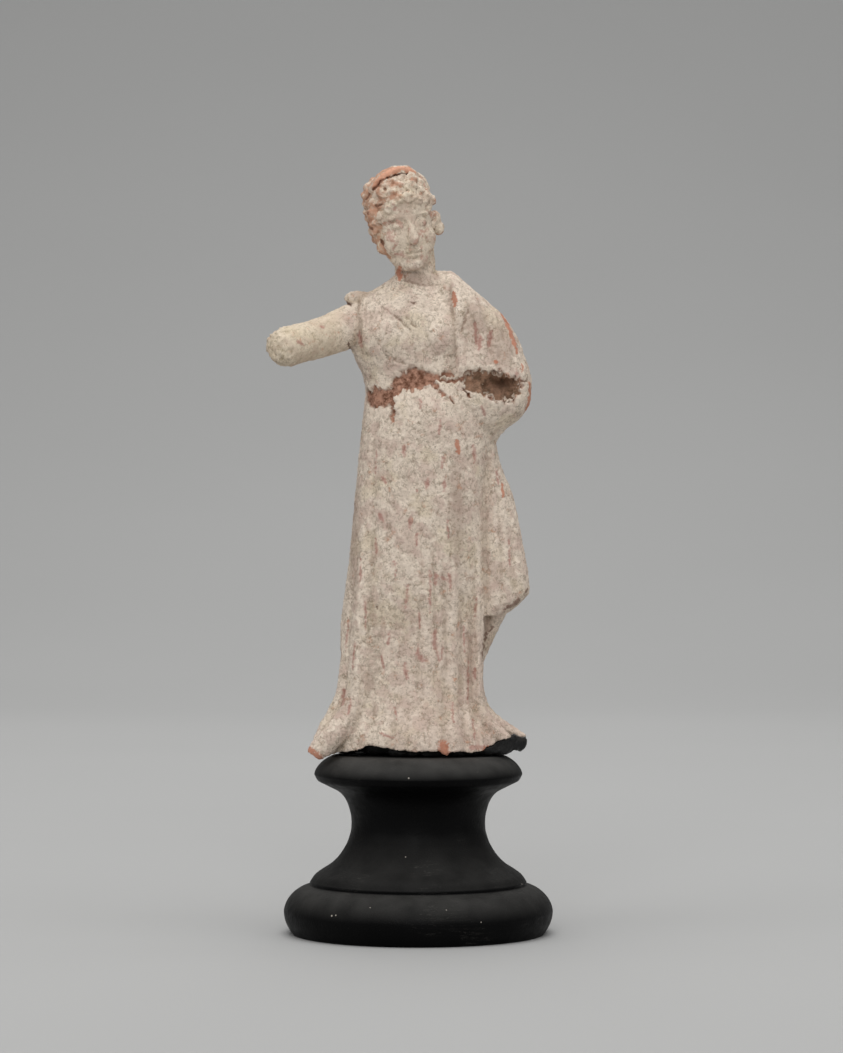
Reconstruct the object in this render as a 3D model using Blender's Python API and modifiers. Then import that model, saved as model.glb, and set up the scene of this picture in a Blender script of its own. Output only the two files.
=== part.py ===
"""A small terracotta figurine of a standing, draped woman, seated on a turned black socle.

Metres, +Z up. The woman faces -Y, and +X is to the viewer's right. The origin is the centre of the
socle's flat underside. The figurine is one fired piece with its breaks as they are, the socle is one
turned piece, and between them lies a thin bed of black filler that takes up the ragged hem.
"""

import math

import bmesh
import bpy
import numpy as np
from mathutils import Euler, Matrix, Vector

# Driving sizes of the figurine
FIGURE_HEIGHT = 0.147
PERCENT = FIGURE_HEIGHT / 100

# Driving sizes of the socle
SOCLE_HEIGHT = 0.0446
FOOT_RADIUS = 0.0336
FOOT_HEIGHT = 0.0123
FOOT_UNDERCUT = 0.0022
LEDGE_SETBACK = 0.0065
LEDGE_STEP = 0.0005
WAIST_RADIUS = 0.0167
CAP_RADIUS = 0.0260
CAP_LIP = 0.0058
CAP_DROP = 0.0049
SOCLE_SIDES = 44

# Levels of the foot's widest line and of the waist, as shares of the foot and of the hollow above it
FOOT_BULGE, WAIST_SHARE = 0.45, 0.55

# The hollow moulding of the socle below and above its waist: (share of height, share of spread)
FLARE = ((0.0, 0.0), (0.1, 0.009), (0.3, 0.085), (0.44, 0.185), (0.57, 0.315), (0.69, 0.49), (0.8, 0.73),
         (0.885, 0.888), (1.0, 1.0))
UNDER_CAP = ((0.0, 0.0), (0.1, 0.006), (0.3, 0.06), (0.47, 0.145), (0.63, 0.31), (0.8, 0.717), (0.88, 0.913),
             (1.0, 1.0))
FOOT_ROUNDNESS, CAP_ROUNDNESS = 1.8, 1.65

# Fit between touching pieces
GAP = 0.0003

# Mesh fineness of the fired figurine, in percent of its height
CLAY_GRAIN = 0.56
CLAY_TRIANGLES = 6300

# The figurine's own shape follows. Every number in these tables is a percent of its height, measured
# from the lowest point of the hem and from the axis of the socle. Columns of the drapes are
# (level, left, right, front, back).
BODY = (
    (-3.0, -15.2, 15.6, -11.0, 10.0),
    (3.1, -14.4, 14.2, -10.4, 9.6),
    (5.7, -13.7, 12.4, -9.4, 9.2),
    (8.4, -13.2, 11.0, -8.5, 8.8),
    (11.1, -13.0, 10.6, -8.0, 8.4),
    (19.3, -13.2, 11.0, -7.7, 8.0),
    (32.9, -11.7, 11.5, -8.4, 7.5),
    (46.5, -10.4, 12.3, -8.8, 7.3),
    (58.7, -9.2, 13.0, -7.8, 6.3),
    (61.4, -8.9, 12.2, -7.2, 6.0),
    (64.2, -9.4, 10.8, -6.8, 5.8),
    (66.9, -10.6, 9.8, -7.2, 5.8),
    (69.6, -11.5, 9.3, -7.6, 5.9),
    (73.7, -11.6, 9.1, -7.0, 6.0),
    (76.2, -11.4, 8.6, -5.8, 5.6),
    (77.8, -9.9, 7.4, -4.7, 5.0),
    (79.0, -7.2, 5.6, -4.0, 4.4),
    (81.3, -3.9, 3.0, -3.1, 3.5),
)
SHOULDER_DRAPE = (
    (52.4, 8.0, 12.8, -3.4, 4.0),
    (54.6, 6.0, 14.3, -4.6, 4.4),
    (57.4, 4.0, 17.6, -6.6, 4.9),
    (60.1, 3.0, 19.0, -7.7, 5.4),
    (62.8, 3.0, 19.2, -8.0, 5.8),
    (68.2, 2.5, 17.8, -7.4, 6.4),
    (73.7, 2.0, 15.0, -6.2, 6.5),
    (76.4, 2.0, 12.2, -5.2, 6.1),
    (79.1, 2.2, 9.1, -4.0, 5.3),
    (82.0, 2.6, 5.8, -1.2, 3.6),
)
HANGING_DRAPE = (
    (23.6, 8.0, 14.6, -4.4, 1.8),
    (25.6, 8.0, 17.3, -5.0, 2.4),
    (27.6, 8.0, 18.8, -5.0, 2.6),
    (38.3, 8.0, 17.2, -5.0, 3.1),
    (43.8, 8.0, 16.0, -4.8, 3.2),
    (49.2, 8.0, 13.9, -4.3, 3.2),
    (53.3, 8.0, 13.0, -4.0, 3.0),
)
BACK_DRAPE = (
    (9.0, 4.0, 10.9, 0.2, 8.0),
    (13.8, 4.0, 10.9, 0.2, 7.8),
    (19.3, 4.0, 12.9, 0.2, 7.5),
    (26.1, 4.0, 15.6, 0.2, 7.3),
    (34.0, 4.0, 15.6, 0.2, 7.2),
    (56.0, 4.0, 12.0, 0.2, 6.4),
)
BODY_CORNER, DRAPE_CORNER, HEAD_CORNER = 2.3, 2.1, 2.15

# Tubes of cloth and limb. Columns are (x, y, level, radius).
FRONT_LEFT_FOLD = (
    (-8.9, -5.6, 36.0, 0.7),
    (-9.4, -5.5, 29.0, 1.3),
    (-9.7, -5.3, 21.0, 1.7),
    (-9.9, -5.3, 14.0, 1.9),
    (-10.4, -5.7, 9.0, 1.9),
    (-12.2, -6.3, 5.7, 2.0),
    (-14.6, -6.7, 3.0, 2.1),
    (-16.9, -6.6, 0.6, 1.8),
)
OUTER_LEFT_FOLD = (
    (-11.4, -2.4, 24.0, 1.0),
    (-11.8, -2.0, 17.0, 1.3),
    (-12.1, -1.8, 12.0, 1.5),
    (-12.7, -1.8, 9.0, 1.5),
    (-14.2, -2.0, 6.4, 1.5),
    (-15.8, -2.5, 3.6, 1.5),
    (-17.0, -3.2, 0.6, 1.4),
)
FRONT_RIGHT_FOLD = (
    (9.9, -4.2, 50.0, 0.8),
    (10.0, -4.3, 36.0, 1.0),
    (9.9, -4.2, 22.0, 1.1),
    (9.7, -4.2, 11.5, 1.2),
    (10.3, -4.6, 7.4, 1.2),
    (12.2, -5.2, 4.8, 1.2),
    (14.9, -5.4, 2.6, 1.1),
)
OUTER_RIGHT_FOLD = (
    (9.8, -0.6, 16.0, 0.9),
    (9.9, -0.8, 10.2, 1.1),
    (11.2, -1.0, 7.0, 1.2),
    (13.6, -1.2, 4.9, 1.2),
    (17.4, -1.2, 2.6, 1.0),
)
ARM = (
    (-7.5, 0.6, 74.6, 3.6),
    (-11.6, -2.0, 72.5, 3.6),
    (-15.4, -5.2, 70.7, 3.3),
    (-19.2, -8.6, 69.5, 3.25),
    (-22.2, -11.1, 68.5, 3.3),
)
NECK = (
    (-0.5, 0.6, 77.0, 3.9),
    (-0.6, 0.4, 80.0, 3.45),
    (-0.4, 0.1, 83.0, 3.35),
    (-1.2, 0.2, 87.5, 3.6),
)

# Soft lumps of the body. Columns are (x, y, level, half width, half depth, half height).
BODY_LUMPS = (
    (-5.6, -3.6, 70.4, 4.4, 4.4, 4.6),  # her right breast
    (3.8, -3.7, 70.4, 4.4, 4.3, 4.6),  # her left breast
    (-11.2, -1.4, 77.4, 1.7, 1.9, 1.2),  # button of the sleeve on the shoulder
)

# The head, in its own frame: columns are (level, half width, front, back).
HEAD_CENTRE = (-3.0, -0.9, 90.2)
HEAD_PITCH, HEAD_LEAN, HEAD_TURN = math.radians(5), math.radians(-10), math.radians(16)
HEAD = (
    (-8.0, 1.2, -4.7, -2.7),
    (-7.5, 2.3, -5.4, -1.4),
    (-6.4, 3.1, -5.8, 0.4),
    (-4.7, 3.9, -5.9, 2.4),
    (-2.8, 4.7, -5.9, 4.0),
    (-1.0, 4.95, -5.8, 5.2),
    (1.0, 5.1, -5.9, 6.0),
    (3.0, 5.0, -5.8, 6.3),
    (5.0, 4.7, -5.2, 6.0),
    (6.9, 3.8, -3.8, 4.8),
    (8.2, 2.0, -1.8, 2.8),
)
NOSE = ((0.0, -5.3, 1.6, 0.5), (0.0, -5.8, 0.2, 0.55), (0.0, -6.3, -1.6, 0.7), (0.0, -6.5, -2.9, 0.95))
FACE_LUMPS = (
    (0.0, -5.1, -6.9, 1.5, 1.15, 1.15),  # chin
    (-2.5, -3.9, -3.0, 2.1, 1.6, 2.5),  # cheeks
    (2.5, -3.9, -3.0, 2.1, 1.6, 2.5),
    (0.0, -5.75, -4.75, 1.3, 0.6, 0.4),  # lips
    (0.0, -5.7, -5.5, 1.05, 0.6, 0.45),
    (-2.1, -5.0, -0.2, 1.1, 0.65, 0.6),  # eyes
    (2.1, -5.0, -0.2, 1.1, 0.65, 0.6),
    (-2.2, -5.05, 1.1, 1.5, 0.6, 0.5),  # brows
    (2.2, -5.05, 1.1, 1.5, 0.6, 0.5),
)
HAIR_LUMPS = (
    (-2.1, 1.9, 4.6, 3.3, 4.4, 3.6),  # hair drawn back over the skull
    (2.8, 1.7, 4.7, 3.4, 4.3, 3.8),
    (0.0, 2.2, 2.4, 5.3, 5.5, 5.2),
    (0.0, 3.9, -0.8, 4.4, 4.1, 4.6),
    (0.2, 7.4, 2.2, 3.0, 2.4, 2.8),  # knot at the back
    (-4.75, -0.7, -0.5, 1.3, 1.3, 1.2),  # locks by her right ear
    (-4.4, -1.0, -2.2, 0.9, 1.1, 0.9),
    (-4.0, -1.7, -3.5, 1.3, 1.3, 1.3),
    (5.7, -1.5, -0.2, 0.95, 1.1, 1.4),  # lock by her left ear
    (6.0, -1.5, -1.8, 1.1, 1.1, 1.2),
)
# Rows of curls from ear to ear: (count, first and last angle, side, level of its middle, rise, size)
CURL_ROWS = (
    (13, -82, 82, 4.8, -1.4, 5.6, 1.1),
    (12, -84, 84, 5.15, -0.2, 6.5, 1.15),
    (10, -80, 76, 5.2, 1.1, 6.5, 1.15),
)
CURL_SINK = 0.35
CREST = ((-4.3, -0.8, 6.4, 0.8), (-3.0, -1.3, 7.9, 0.95), (-1.0, -1.6, 8.7, 0.95), (1.0, -1.6, 8.8, 0.9),
         (2.6, -1.2, 8.3, 0.8), (3.8, -0.6, 7.3, 0.6))

# Carved folds on the front. Each is (depth, half width, ((level, x), ...)): a groove where depth is
# negative and a ridge where it is positive.
FRONT_FOLDS = (
    (-0.85, 1.5, ((-4.0, -8.8), (9.0, -7.4), (18.0, -7.0), (26.0, -7.0))),
    (-0.65, 3.4, ((9.0, -3.4), (16.0, -3.2), (24.0, -3.0))),
    (-0.40, 0.5, ((10.0, -0.2), (16.0, 0.0), (28.0, 0.4))),
    (0.35, 1.3, ((-2.0, 1.6), (16.0, 1.4), (32.0, 1.6))),
    (-0.40, 0.5, ((13.0, 3.3), (19.0, 2.8), (36.0, 2.4))),
    (-0.35, 0.5, ((12.0, 4.6), (20.0, 4.5), (32.0, 4.2))),
    (0.35, 0.9, ((-2.0, 6.2), (14.0, 6.1), (30.0, 6.0))),
    (-0.85, 0.7, ((-1.0, 8.4), (9.0, 7.4), (20.0, 7.2), (28.0, 7.4))),
    (-0.75, 0.6, ((-1.0, 10.4), (9.0, 8.8), (20.0, 8.6), (26.0, 8.6))),
    (-0.80, 0.7, ((10.0, 11.6), (26.0, 11.5), (42.0, 11.3), (54.0, 11.6))),
    (-0.50, 0.6, ((24.0, 14.0), (34.0, 13.9), (46.0, 13.2))),
    (-0.45, 0.5, ((26.0, 16.2), (36.0, 15.8), (42.0, 15.0))),
    (-0.45, 0.6, ((22.0, -7.9), (34.0, -7.6), (48.0, -7.4), (56.0, -7.2))),
    (-0.45, 0.6, ((6.0, -12.4), (12.0, -11.6), (20.0, -11.4), (30.0, -11.0))),
    (-0.45, 0.7, ((-3.0, -4.9), (6.0, -4.0), (9.0, -3.6))),
    (-0.40, 0.6, ((-3.0, 4.8), (5.0, 4.2), (8.0, 3.9))),
    (-0.45, 0.6, ((-3.0, 12.6), (4.0, 11.2), (8.0, 10.0))),
    (-0.65, 0.6, ((68.5, 9.9), (73.0, 9.3), (76.5, 8.2))),
    (-0.55, 0.5, ((67.0, 12.2), (71.0, 12.0), (74.0, 11.0))),
    (-0.40, 0.5, ((69.0, 14.8), (72.0, 14.2), (74.5, 13.0))),
    (-0.45, 0.5, ((68.0, -9.6), (72.0, -9.9), (77.0, -9.2))),
    (-0.35, 0.4, ((70.0, -8.4), (77.0, -8.0))),
)
BACK_FOLDS = (
    (-0.70, 1.0, ((0.5, -9.0), (14.0, -7.4), (34.0, -6.6), (50.0, -6.0))),
    (-0.60, 0.9, ((0.5, -3.4), (14.0, -2.8), (30.0, -2.4))),
    (-0.70, 1.0, ((0.5, 2.6), (14.0, 2.2), (38.0, 2.0))),
    (-0.60, 0.9, ((0.5, 8.6), (14.0, 7.4), (32.0, 7.0))),
    (0.60, 1.2, ((40.0, -9.0), (52.0, -3.0), (62.0, 3.0), (72.0, 8.6))),
    (-0.60, 1.0, ((44.0, -9.0), (56.0, -3.0), (66.0, 3.0), (75.0, 8.6))),
    (0.50, 1.2, ((56.0, -8.6), (65.0, -3.0), (73.0, 2.6))),
)

# Broad mounds of the front as (height, x, level, half width, half height), and the raised edge of the
# mantle where it crosses the chest
MOUNDS = ((1.2, 3.8, 57.5, 6.5, 5.5), (0.5, -4.5, 54.0, 5.0, 8.0))
MANTLE_EDGE = ((60.0, 6.6), (66.0, 6.6), (72.0, 6.4), (77.0, 6.0), (82.0, 5.0))
MANTLE_STEP = 0.8

# The broken strip across the waist: its upper and lower edges as (x, level), and the hollow sleeve.
SCAR_TOP = ((-9.6, 62.0), (-6.6, 61.8), (-4.2, 63.2), (-2.2, 65.0), (0.4, 65.4), (3.0, 64.6), (5.4, 63.8),
            (6.4, 63.5), (7.8, 64.7), (10.6, 65.0), (14.0, 64.8), (16.6, 63.9), (18.2, 63.4))
SCAR_BOTTOM = ((-9.6, 59.4), (-7.6, 58.5), (-4.8, 58.9), (-3.2, 60.8), (-0.6, 61.2), (2.2, 62.2), (4.4, 63.0),
               (6.6, 62.6), (8.6, 60.6), (10.6, 60.2), (13.4, 59.3), (15.4, 59.2), (17.2, 61.2), (18.2, 62.8))
SCAR_DEPTH = 1.0
SLEEVE_HOLLOWS = (
    (13.9, -7.0, 62.3, 3.4, 4.2, 1.95),
    (10.6, -7.4, 62.5, 3.0, 2.2, 1.9),
)
HOLLOW_TILT = (math.radians(14), math.radians(6), 0.0)
HOLLOW_GRAIN = 0.8

# The ragged lower edge of the hem, as (x, level).
HEM_EDGE = ((-24.0, 0.0), (-17.4, 0.0), (-14.5, 0.4), (-11.6, 1.0), (-8.4, 2.0), (-6.4, 1.8), (-3.0, 1.6),
            (3.0, 1.6), (3.9, 0.9), (4.9, 0.9), (5.7, 1.5), (9.6, 0.9), (11.0, 1.1), (12.2, 2.0), (14.0, 2.9),
            (16.0, 3.6), (18.6, 3.0), (24.0, 2.8))
CUTTER_REACH = 30.0

# The filler's outline in plan, and how its edge rounds off as (share of its height, share of its plan)
BED_LEFT, BED_RIGHT, BED_FRONT, BED_BACK = -14.2, 18.4, -8.6, 8.2
BED_EDGE = ((0.0, 0.95), (0.15, 0.985), (0.5, 1.0), (0.8, 0.97), (1.0, 0.9))
BED_HEIGHT, BED_CORNER = 4.4, 2.2
BED_SIDES = 40


def percent(*values):
    """A point or size of the figurine, in metres."""
    return Vector(values) * PERCENT


def figure_base():
    """Level of the lowest point of the hem."""
    return SOCLE_HEIGHT + GAP


def smooth_columns(rows, levels):
    """Every column of the rows at these levels, on a curve that never overshoots a row."""
    table = np.array(rows, float)
    knots, values = table[:, 0], table[:, 1:]
    step = np.diff(knots)[:, None]
    slope = np.diff(values, axis=0) / step
    rising = slope[:-1] * slope[1:]
    total = slope[:-1] + slope[1:]
    tangent = np.vstack([slope[:1], np.where(rising > 0, 2 * rising / np.where(total == 0, 1, total), 0), slope[-1:]])
    place = np.clip(np.searchsorted(knots, levels, side="right") - 1, 0, len(knots) - 2)
    share = ((levels - knots[place]) / step[place, 0])[:, None]
    start, end, length = values[place], values[place + 1], step[place]
    return (
        (1 + 2 * share) * (1 - share) ** 2 * start
        + share * (1 - share) ** 2 * length * tangent[place]
        + share**2 * (3 - 2 * share) * end
        + share**2 * (share - 1) * length * tangent[place + 1]
    )


def along(path, levels):
    """The x of a fold's path at these levels."""
    rows = np.array(path, float)
    return np.interp(levels, rows[:, 0], rows[:, 1])


def fade(values, start, end):
    """0 up to start and 1 from end, with soft ends."""
    share = np.clip((values - start) / (end - start), 0, 1)
    return share * share * (3 - 2 * share)


def ring_of(middle, half_width, front, back, corner, around):
    """Plan points of one horizontal ring with rounded corners."""
    turn = np.linspace(0, 2 * math.pi, around, endpoint=False)
    across = np.sign(np.cos(turn)) * np.abs(np.cos(turn)) ** (2 / corner)
    through = np.sign(np.sin(turn)) * np.abs(np.sin(turn)) ** (2 / corner)
    centre, half_depth = (front + back) / 2, (back - front) / 2
    return middle + half_width * across, centre + half_depth * through


def loft(rings):
    """A closed mesh through rings of equally many points, with both ends capped."""
    shape = bmesh.new()
    rows = [[shape.verts.new(point) for point in ring] for ring in rings]
    for lower, upper in zip(rows, rows[1:]):
        for i in range(len(lower)):
            j = (i + 1) % len(lower)
            shape.faces.new((lower[i], lower[j], upper[j], upper[i]))
    shape.faces.new(reversed(rows[0]))
    shape.faces.new(rows[-1])
    bmesh.ops.recalc_face_normals(shape, faces=shape.faces)
    return shape


def drape(rows, corner, around=64, rings=90):
    """A body of cloth lofted through a table of (level, left, right, front, back)."""
    levels = np.linspace(rows[0][0], rows[-1][0], rings)
    columns = smooth_columns(rows, levels)
    made = []
    for level, (left, right, front, back) in zip(levels, columns):
        x, y = ring_of((left + right) / 2, (right - left) / 2, front, back, corner, around)
        made.append([percent(a, b, level) for a, b in zip(x, y)])
    return loft(made)


def head_shape(around=48, rings=50):
    """Skull and face, in the head's own frame."""
    levels = np.linspace(HEAD[0][0], HEAD[-1][0], rings)
    columns = smooth_columns(HEAD, levels)
    made = []
    for level, (half_width, front, back) in zip(levels, columns):
        x, y = ring_of(0, half_width, front, back, HEAD_CORNER, around)
        made.append([percent(a, b, level) for a, b in zip(x, y)])
    return loft(made)


def tube(points):
    """A limb or fold: a round tube through points of (x, y, level, radius), with round ends."""
    curve = bpy.data.curves.new("tube", "CURVE")
    curve.dimensions = "3D"
    curve.bevel_depth = PERCENT
    curve.bevel_resolution = 4
    curve.resolution_u = 8
    curve.use_fill_caps = True
    spline = curve.splines.new("NURBS")
    spline.points.add(len(points) - 1)
    for knot, (x, y, level, radius) in zip(spline.points, points):
        knot.co = (*percent(x, y, level), 1)
        knot.radius = radius
    spline.order_u = 3
    spline.use_endpoint_u = True
    guide = bpy.data.objects.new("tube", curve)
    bpy.context.scene.collection.objects.link(guide)
    shape = bmesh.new()
    shape.from_mesh(bpy.data.meshes.new_from_object(guide.evaluated_get(bpy.context.evaluated_depsgraph_get())))
    bmesh.ops.remove_doubles(shape, verts=shape.verts, dist=1e-6)
    bpy.data.objects.remove(guide)
    for x, y, level, radius in (points[0], points[-1]):
        cap = 0.92 * radius
        shape.from_mesh(mesh_of(lump(x, y, level, cap, cap, cap), "cap"))
    return shape


def lump(x, y, level, half_width, half_depth, half_height, tilt=None):
    """A soft rounded mass."""
    shape = bmesh.new()
    bmesh.ops.create_uvsphere(shape, u_segments=20, v_segments=12, radius=1)
    size = Matrix.Diagonal((*percent(half_width, half_depth, half_height), 1))
    turned = tilt.to_matrix().to_4x4() if tilt else Matrix.Identity(4)
    bmesh.ops.transform(shape, matrix=Matrix.Translation(percent(x, y, level)) @ turned @ size, verts=shape.verts)
    return shape


def mesh_of(shape, name):
    """A bmesh as mesh data; the bmesh is freed."""
    mesh = bpy.data.meshes.new(name)
    shape.to_mesh(mesh)
    shape.free()
    return mesh


def joined(shapes, place=Matrix.Identity(4)):
    """Several closed shapes as one bmesh, moved to their place. They overlap until the clay is merged."""
    whole = bmesh.new()
    for shape in shapes:
        whole.from_mesh(mesh_of(shape, "piece"))
    bmesh.ops.transform(whole, matrix=place, verts=whole.verts)
    return whole


def front_of_head(x, level):
    """How far forward the skull reaches at this place."""
    half_width, front, back = smooth_columns(HEAD, np.array([level]))[0]
    share = min(0.96, abs(x) / half_width)
    return (front + back) / 2 - (back - front) / 2 * (1 - share**HEAD_CORNER) ** (1 / HEAD_CORNER)


def curls():
    """Curls of hair in rows that run from ear to ear over the forehead."""
    made = []
    for count, first, last, side, middle, rise, size in CURL_ROWS:
        for i, turn in enumerate(np.radians(np.linspace(first, last, count))):
            grown = size * (1 + 0.12 * math.cos(5 * i + side))
            x, level = side * math.sin(turn), middle + rise * math.cos(turn)
            y = front_of_head(x, level) + CURL_SINK * size
            made.append(lump(x, y, level, grown, size, grown))
    return made


def head_frame():
    """Place and turn of the head on the neck."""
    turned = Euler((HEAD_PITCH, HEAD_LEAN, HEAD_TURN), "XYZ").to_matrix().to_4x4()
    return Matrix.Translation(percent(*HEAD_CENTRE)) @ turned


def figure_shapes():
    """Every mass of the figurine, overlapping, with the lowest hem at level 0."""
    head = [head_shape(), tube(NOSE), tube(CREST)]
    head += [lump(*row) for row in FACE_LUMPS + HAIR_LUMPS] + curls()
    body = [
        drape(BODY, BODY_CORNER),
        drape(SHOULDER_DRAPE, DRAPE_CORNER),
        drape(HANGING_DRAPE, DRAPE_CORNER),
        drape(BACK_DRAPE, DRAPE_CORNER),
    ]
    body += [tube(t) for t in (FRONT_LEFT_FOLD, OUTER_LEFT_FOLD, FRONT_RIGHT_FOLD, OUTER_RIGHT_FOLD, ARM, NECK)]
    body += [lump(*row) for row in BODY_LUMPS]
    return [joined(body), joined(head, head_frame())]


def new_object(name, mesh, collection):
    made = bpy.data.objects.new(name, mesh)
    collection.objects.link(made)
    return made


def baked(obj, name):
    """The object's evaluated mesh as plain mesh data; the object is removed."""
    graph = bpy.context.evaluated_depsgraph_get()
    mesh = bpy.data.meshes.new_from_object(obj.evaluated_get(graph))
    mesh.name = name
    bpy.data.objects.remove(obj)
    return mesh


def merged_clay(grain, helpers):
    """All masses grown together into one skin, as pressed clay is."""
    rough = new_object("merged_clay", mesh_of(joined(figure_shapes()), "clay"), helpers)
    merge = rough.modifiers.new("merge", "REMESH")
    merge.mode = "VOXEL"
    merge.voxel_size = grain * PERCENT
    return baked(rough, "clay")


def points_and_normals(mesh):
    points = np.empty(len(mesh.vertices) * 3)
    mesh.vertices.foreach_get("co", points)
    normals = np.empty(len(mesh.vertices) * 3)
    mesh.vertex_normals.foreach_get("vector", normals)
    return points.reshape(-1, 3), normals.reshape(-1, 3)


def softened(points, mesh, rounds):
    """The points after each has moved towards its neighbours a few times."""
    edges = np.empty(len(mesh.edges) * 2, np.int64)
    mesh.edges.foreach_get("vertices", edges)
    first, second = edges.reshape(-1, 2).T
    count = np.bincount(edges, minlength=len(points))[:, None]
    for _ in range(rounds):
        total = np.zeros_like(points)
        np.add.at(total, first, points[second])
        np.add.at(total, second, points[first])
        points = 0.5 * points + 0.5 * total / count
    return points


def fold_depth(folds, x, level):
    """How far the folds move the surface out at each point, in percent."""
    depth = np.zeros(len(x))
    for height, half_width, path in folds:
        low, high = path[0][0], path[-1][0]
        soft = min(4.0, 0.3 * (high - low))
        ends = fade(level, low - soft, low + soft) * (1 - fade(level, high - soft, high + soft))
        depth += height * ends * np.exp(-(((x - along(path, level)) / half_width) ** 2))
    return depth


def mantle_depth(x, level):
    """The mounds of the front and the step up to the mantle, in percent."""
    depth = np.zeros(len(x))
    for height, middle, centre, half_width, half_height in MOUNDS:
        depth += height * np.exp(-(((x - middle) / half_width) ** 2) - ((level - centre) / half_height) ** 2)
    edge = x - along(MANTLE_EDGE, level)
    over_chest = fade(level, 63.0, 65.5) * (1 - fade(edge, 2.0, 6.0))
    return depth + MANTLE_STEP * over_chest * fade(edge, -0.5, 0.5)


def scar_depth(x, level):
    """How deep the broken strip lies under the surface, in percent."""
    top = np.interp(x, *np.array(SCAR_TOP).T)
    bottom = np.interp(x, *np.array(SCAR_BOTTOM).T)
    return SCAR_DEPTH * fade(top - level, -0.15, 0.45) * fade(level - bottom, -0.2, 0.5)


def carve(mesh):
    """Folds, mounds and the broken strip, pressed into the skin from the front and from the back."""
    points, normals = points_and_normals(mesh)
    points = softened(points, mesh, 2)
    x, _, level = (points / PERCENT).T
    front = fade(-normals[:, 1], 0.0, 0.45)
    back = fade(normals[:, 1], 0.1, 0.5)
    cloth = 1 - fade(level, 80.5, 82.0)
    forward = front * cloth * (fold_depth(FRONT_FOLDS, x, level) + mantle_depth(x, level))
    forward -= back * cloth * fold_depth(BACK_FOLDS, x, level)
    forward -= fade(-normals[:, 1], 0.0, 0.3) * scar_depth(x, level)
    points[:, 1] -= forward * PERCENT
    mesh.vertices.foreach_set("co", softened(points, mesh, 1).ravel())
    mesh.update()


def outline_block(name, outline, collection):
    """A flat outline of (x, level) as a block that runs right through the figurine from front to back."""
    curve = bpy.data.curves.new(name, "CURVE")
    curve.dimensions = "2D"
    curve.fill_mode = "BOTH"
    curve.extrude = CUTTER_REACH * PERCENT
    spline = curve.splines.new("POLY")
    spline.points.add(len(outline) - 1)
    for knot, (x, level) in zip(spline.points, outline):
        knot.co = (*percent(x, level, 0), 1)
    spline.use_cyclic_u = True
    flat = new_object(name, curve, collection)
    upright = Matrix.Rotation(math.pi / 2, 4, "X")
    shape = bmesh.new()
    shape.from_mesh(baked(flat, name))
    bmesh.ops.remove_doubles(shape, verts=shape.verts, dist=1e-6)
    bmesh.ops.transform(shape, matrix=upright, verts=shape.verts)
    bmesh.ops.recalc_face_normals(shape, faces=shape.faces)
    return new_object(name, mesh_of(shape, name), collection)


def hide(helper):
    """A cutter's looks: a wire that no render shows."""
    helper.hide_render = True
    helper.display_type = "WIRE"
    return helper


def under_hem(helpers):
    """Everything below the ragged hem, to be cut off the clay."""
    floor = ((HEM_EDGE[-1][0], -CUTTER_REACH), (HEM_EDGE[0][0], -CUTTER_REACH))
    block = outline_block("under_hem", HEM_EDGE + floor, helpers)
    block.location.z = figure_base()
    return hide(block)


def over_hem(helpers):
    """Everything above the hem's edge less the gap, to be cut off the filler."""
    roof = ((HEM_EDGE[-1][0], CUTTER_REACH), (HEM_EDGE[0][0], CUTTER_REACH))
    block = outline_block("over_hem", HEM_EDGE + roof, helpers)
    block.location.z = figure_base() - GAP
    return hide(block)


def sleeve_hollow(helpers):
    """The hollow that the lost forearm left in the sleeve."""
    shape = joined([lump(*row, tilt=Euler(HOLLOW_TILT)) for row in SLEEVE_HOLLOWS])
    hollow = new_object("sleeve_hollow", mesh_of(shape, "hollow"), helpers)
    merge = hollow.modifiers.new("merge", "REMESH")
    merge.mode = "VOXEL"
    merge.voxel_size = HOLLOW_GRAIN * PERCENT
    hollow.location.z = figure_base()
    return hide(hollow)


def cut(obj, cutter, name):
    modifier = obj.modifiers.new(name, "BOOLEAN")
    modifier.operation = "DIFFERENCE"
    modifier.object = cutter


def material(name, colour, roughness):
    made = bpy.data.materials.new(name)
    made.diffuse_color = (*colour, 1)
    made.use_nodes = True
    surface = made.node_tree.nodes["Principled BSDF"]
    surface.inputs["Base Color"].default_value = (*colour, 1)
    surface.inputs["Roughness"].default_value = roughness
    surface.inputs["Metallic"].default_value = 0
    return made


def figurine(parts, helpers):
    """The fired figurine, cut along its hem and hollowed at the broken sleeve."""
    mesh = merged_clay(CLAY_GRAIN, helpers)
    carve(mesh)
    made = new_object("figurine", mesh, parts)
    made.location.z = figure_base()
    thin = made.modifiers.new("thin", "DECIMATE")
    mesh.calc_loop_triangles()
    thin.ratio = CLAY_TRIANGLES / len(mesh.loop_triangles)
    cut(made, under_hem(helpers), "hem")
    cut(made, sleeve_hollow(helpers), "sleeve")
    made.data.shade_smooth()
    made.data.materials.append(material("slip_on_terracotta", (0.50, 0.42, 0.34), 0.9))
    return made


def quarter(flat, upright, roundness):
    """Profile points (radius, level) of a rounded quarter, from its flat end to its upright end."""
    turns = np.radians(np.linspace(0, 90, 6))
    spread = np.sin(turns) ** (2 / roundness)
    rise = np.cos(turns).clip(0) ** (2 / roundness)
    radius = flat[0] + (upright[0] - flat[0]) * spread
    level = upright[1] + (flat[1] - upright[1]) * rise
    return list(zip(radius, level))


def moulding(rows, narrow, wide):
    """Profile points from the narrow end (radius, level) to the wide end, through a table of shares."""
    shares = np.linspace(0, 1, 9)
    spread = smooth_columns(rows, shares)[:, 0]
    radius = narrow[0] + (wide[0] - narrow[0]) * spread
    level = narrow[1] + (wide[1] - narrow[1]) * shares
    return list(zip(radius, level))


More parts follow.
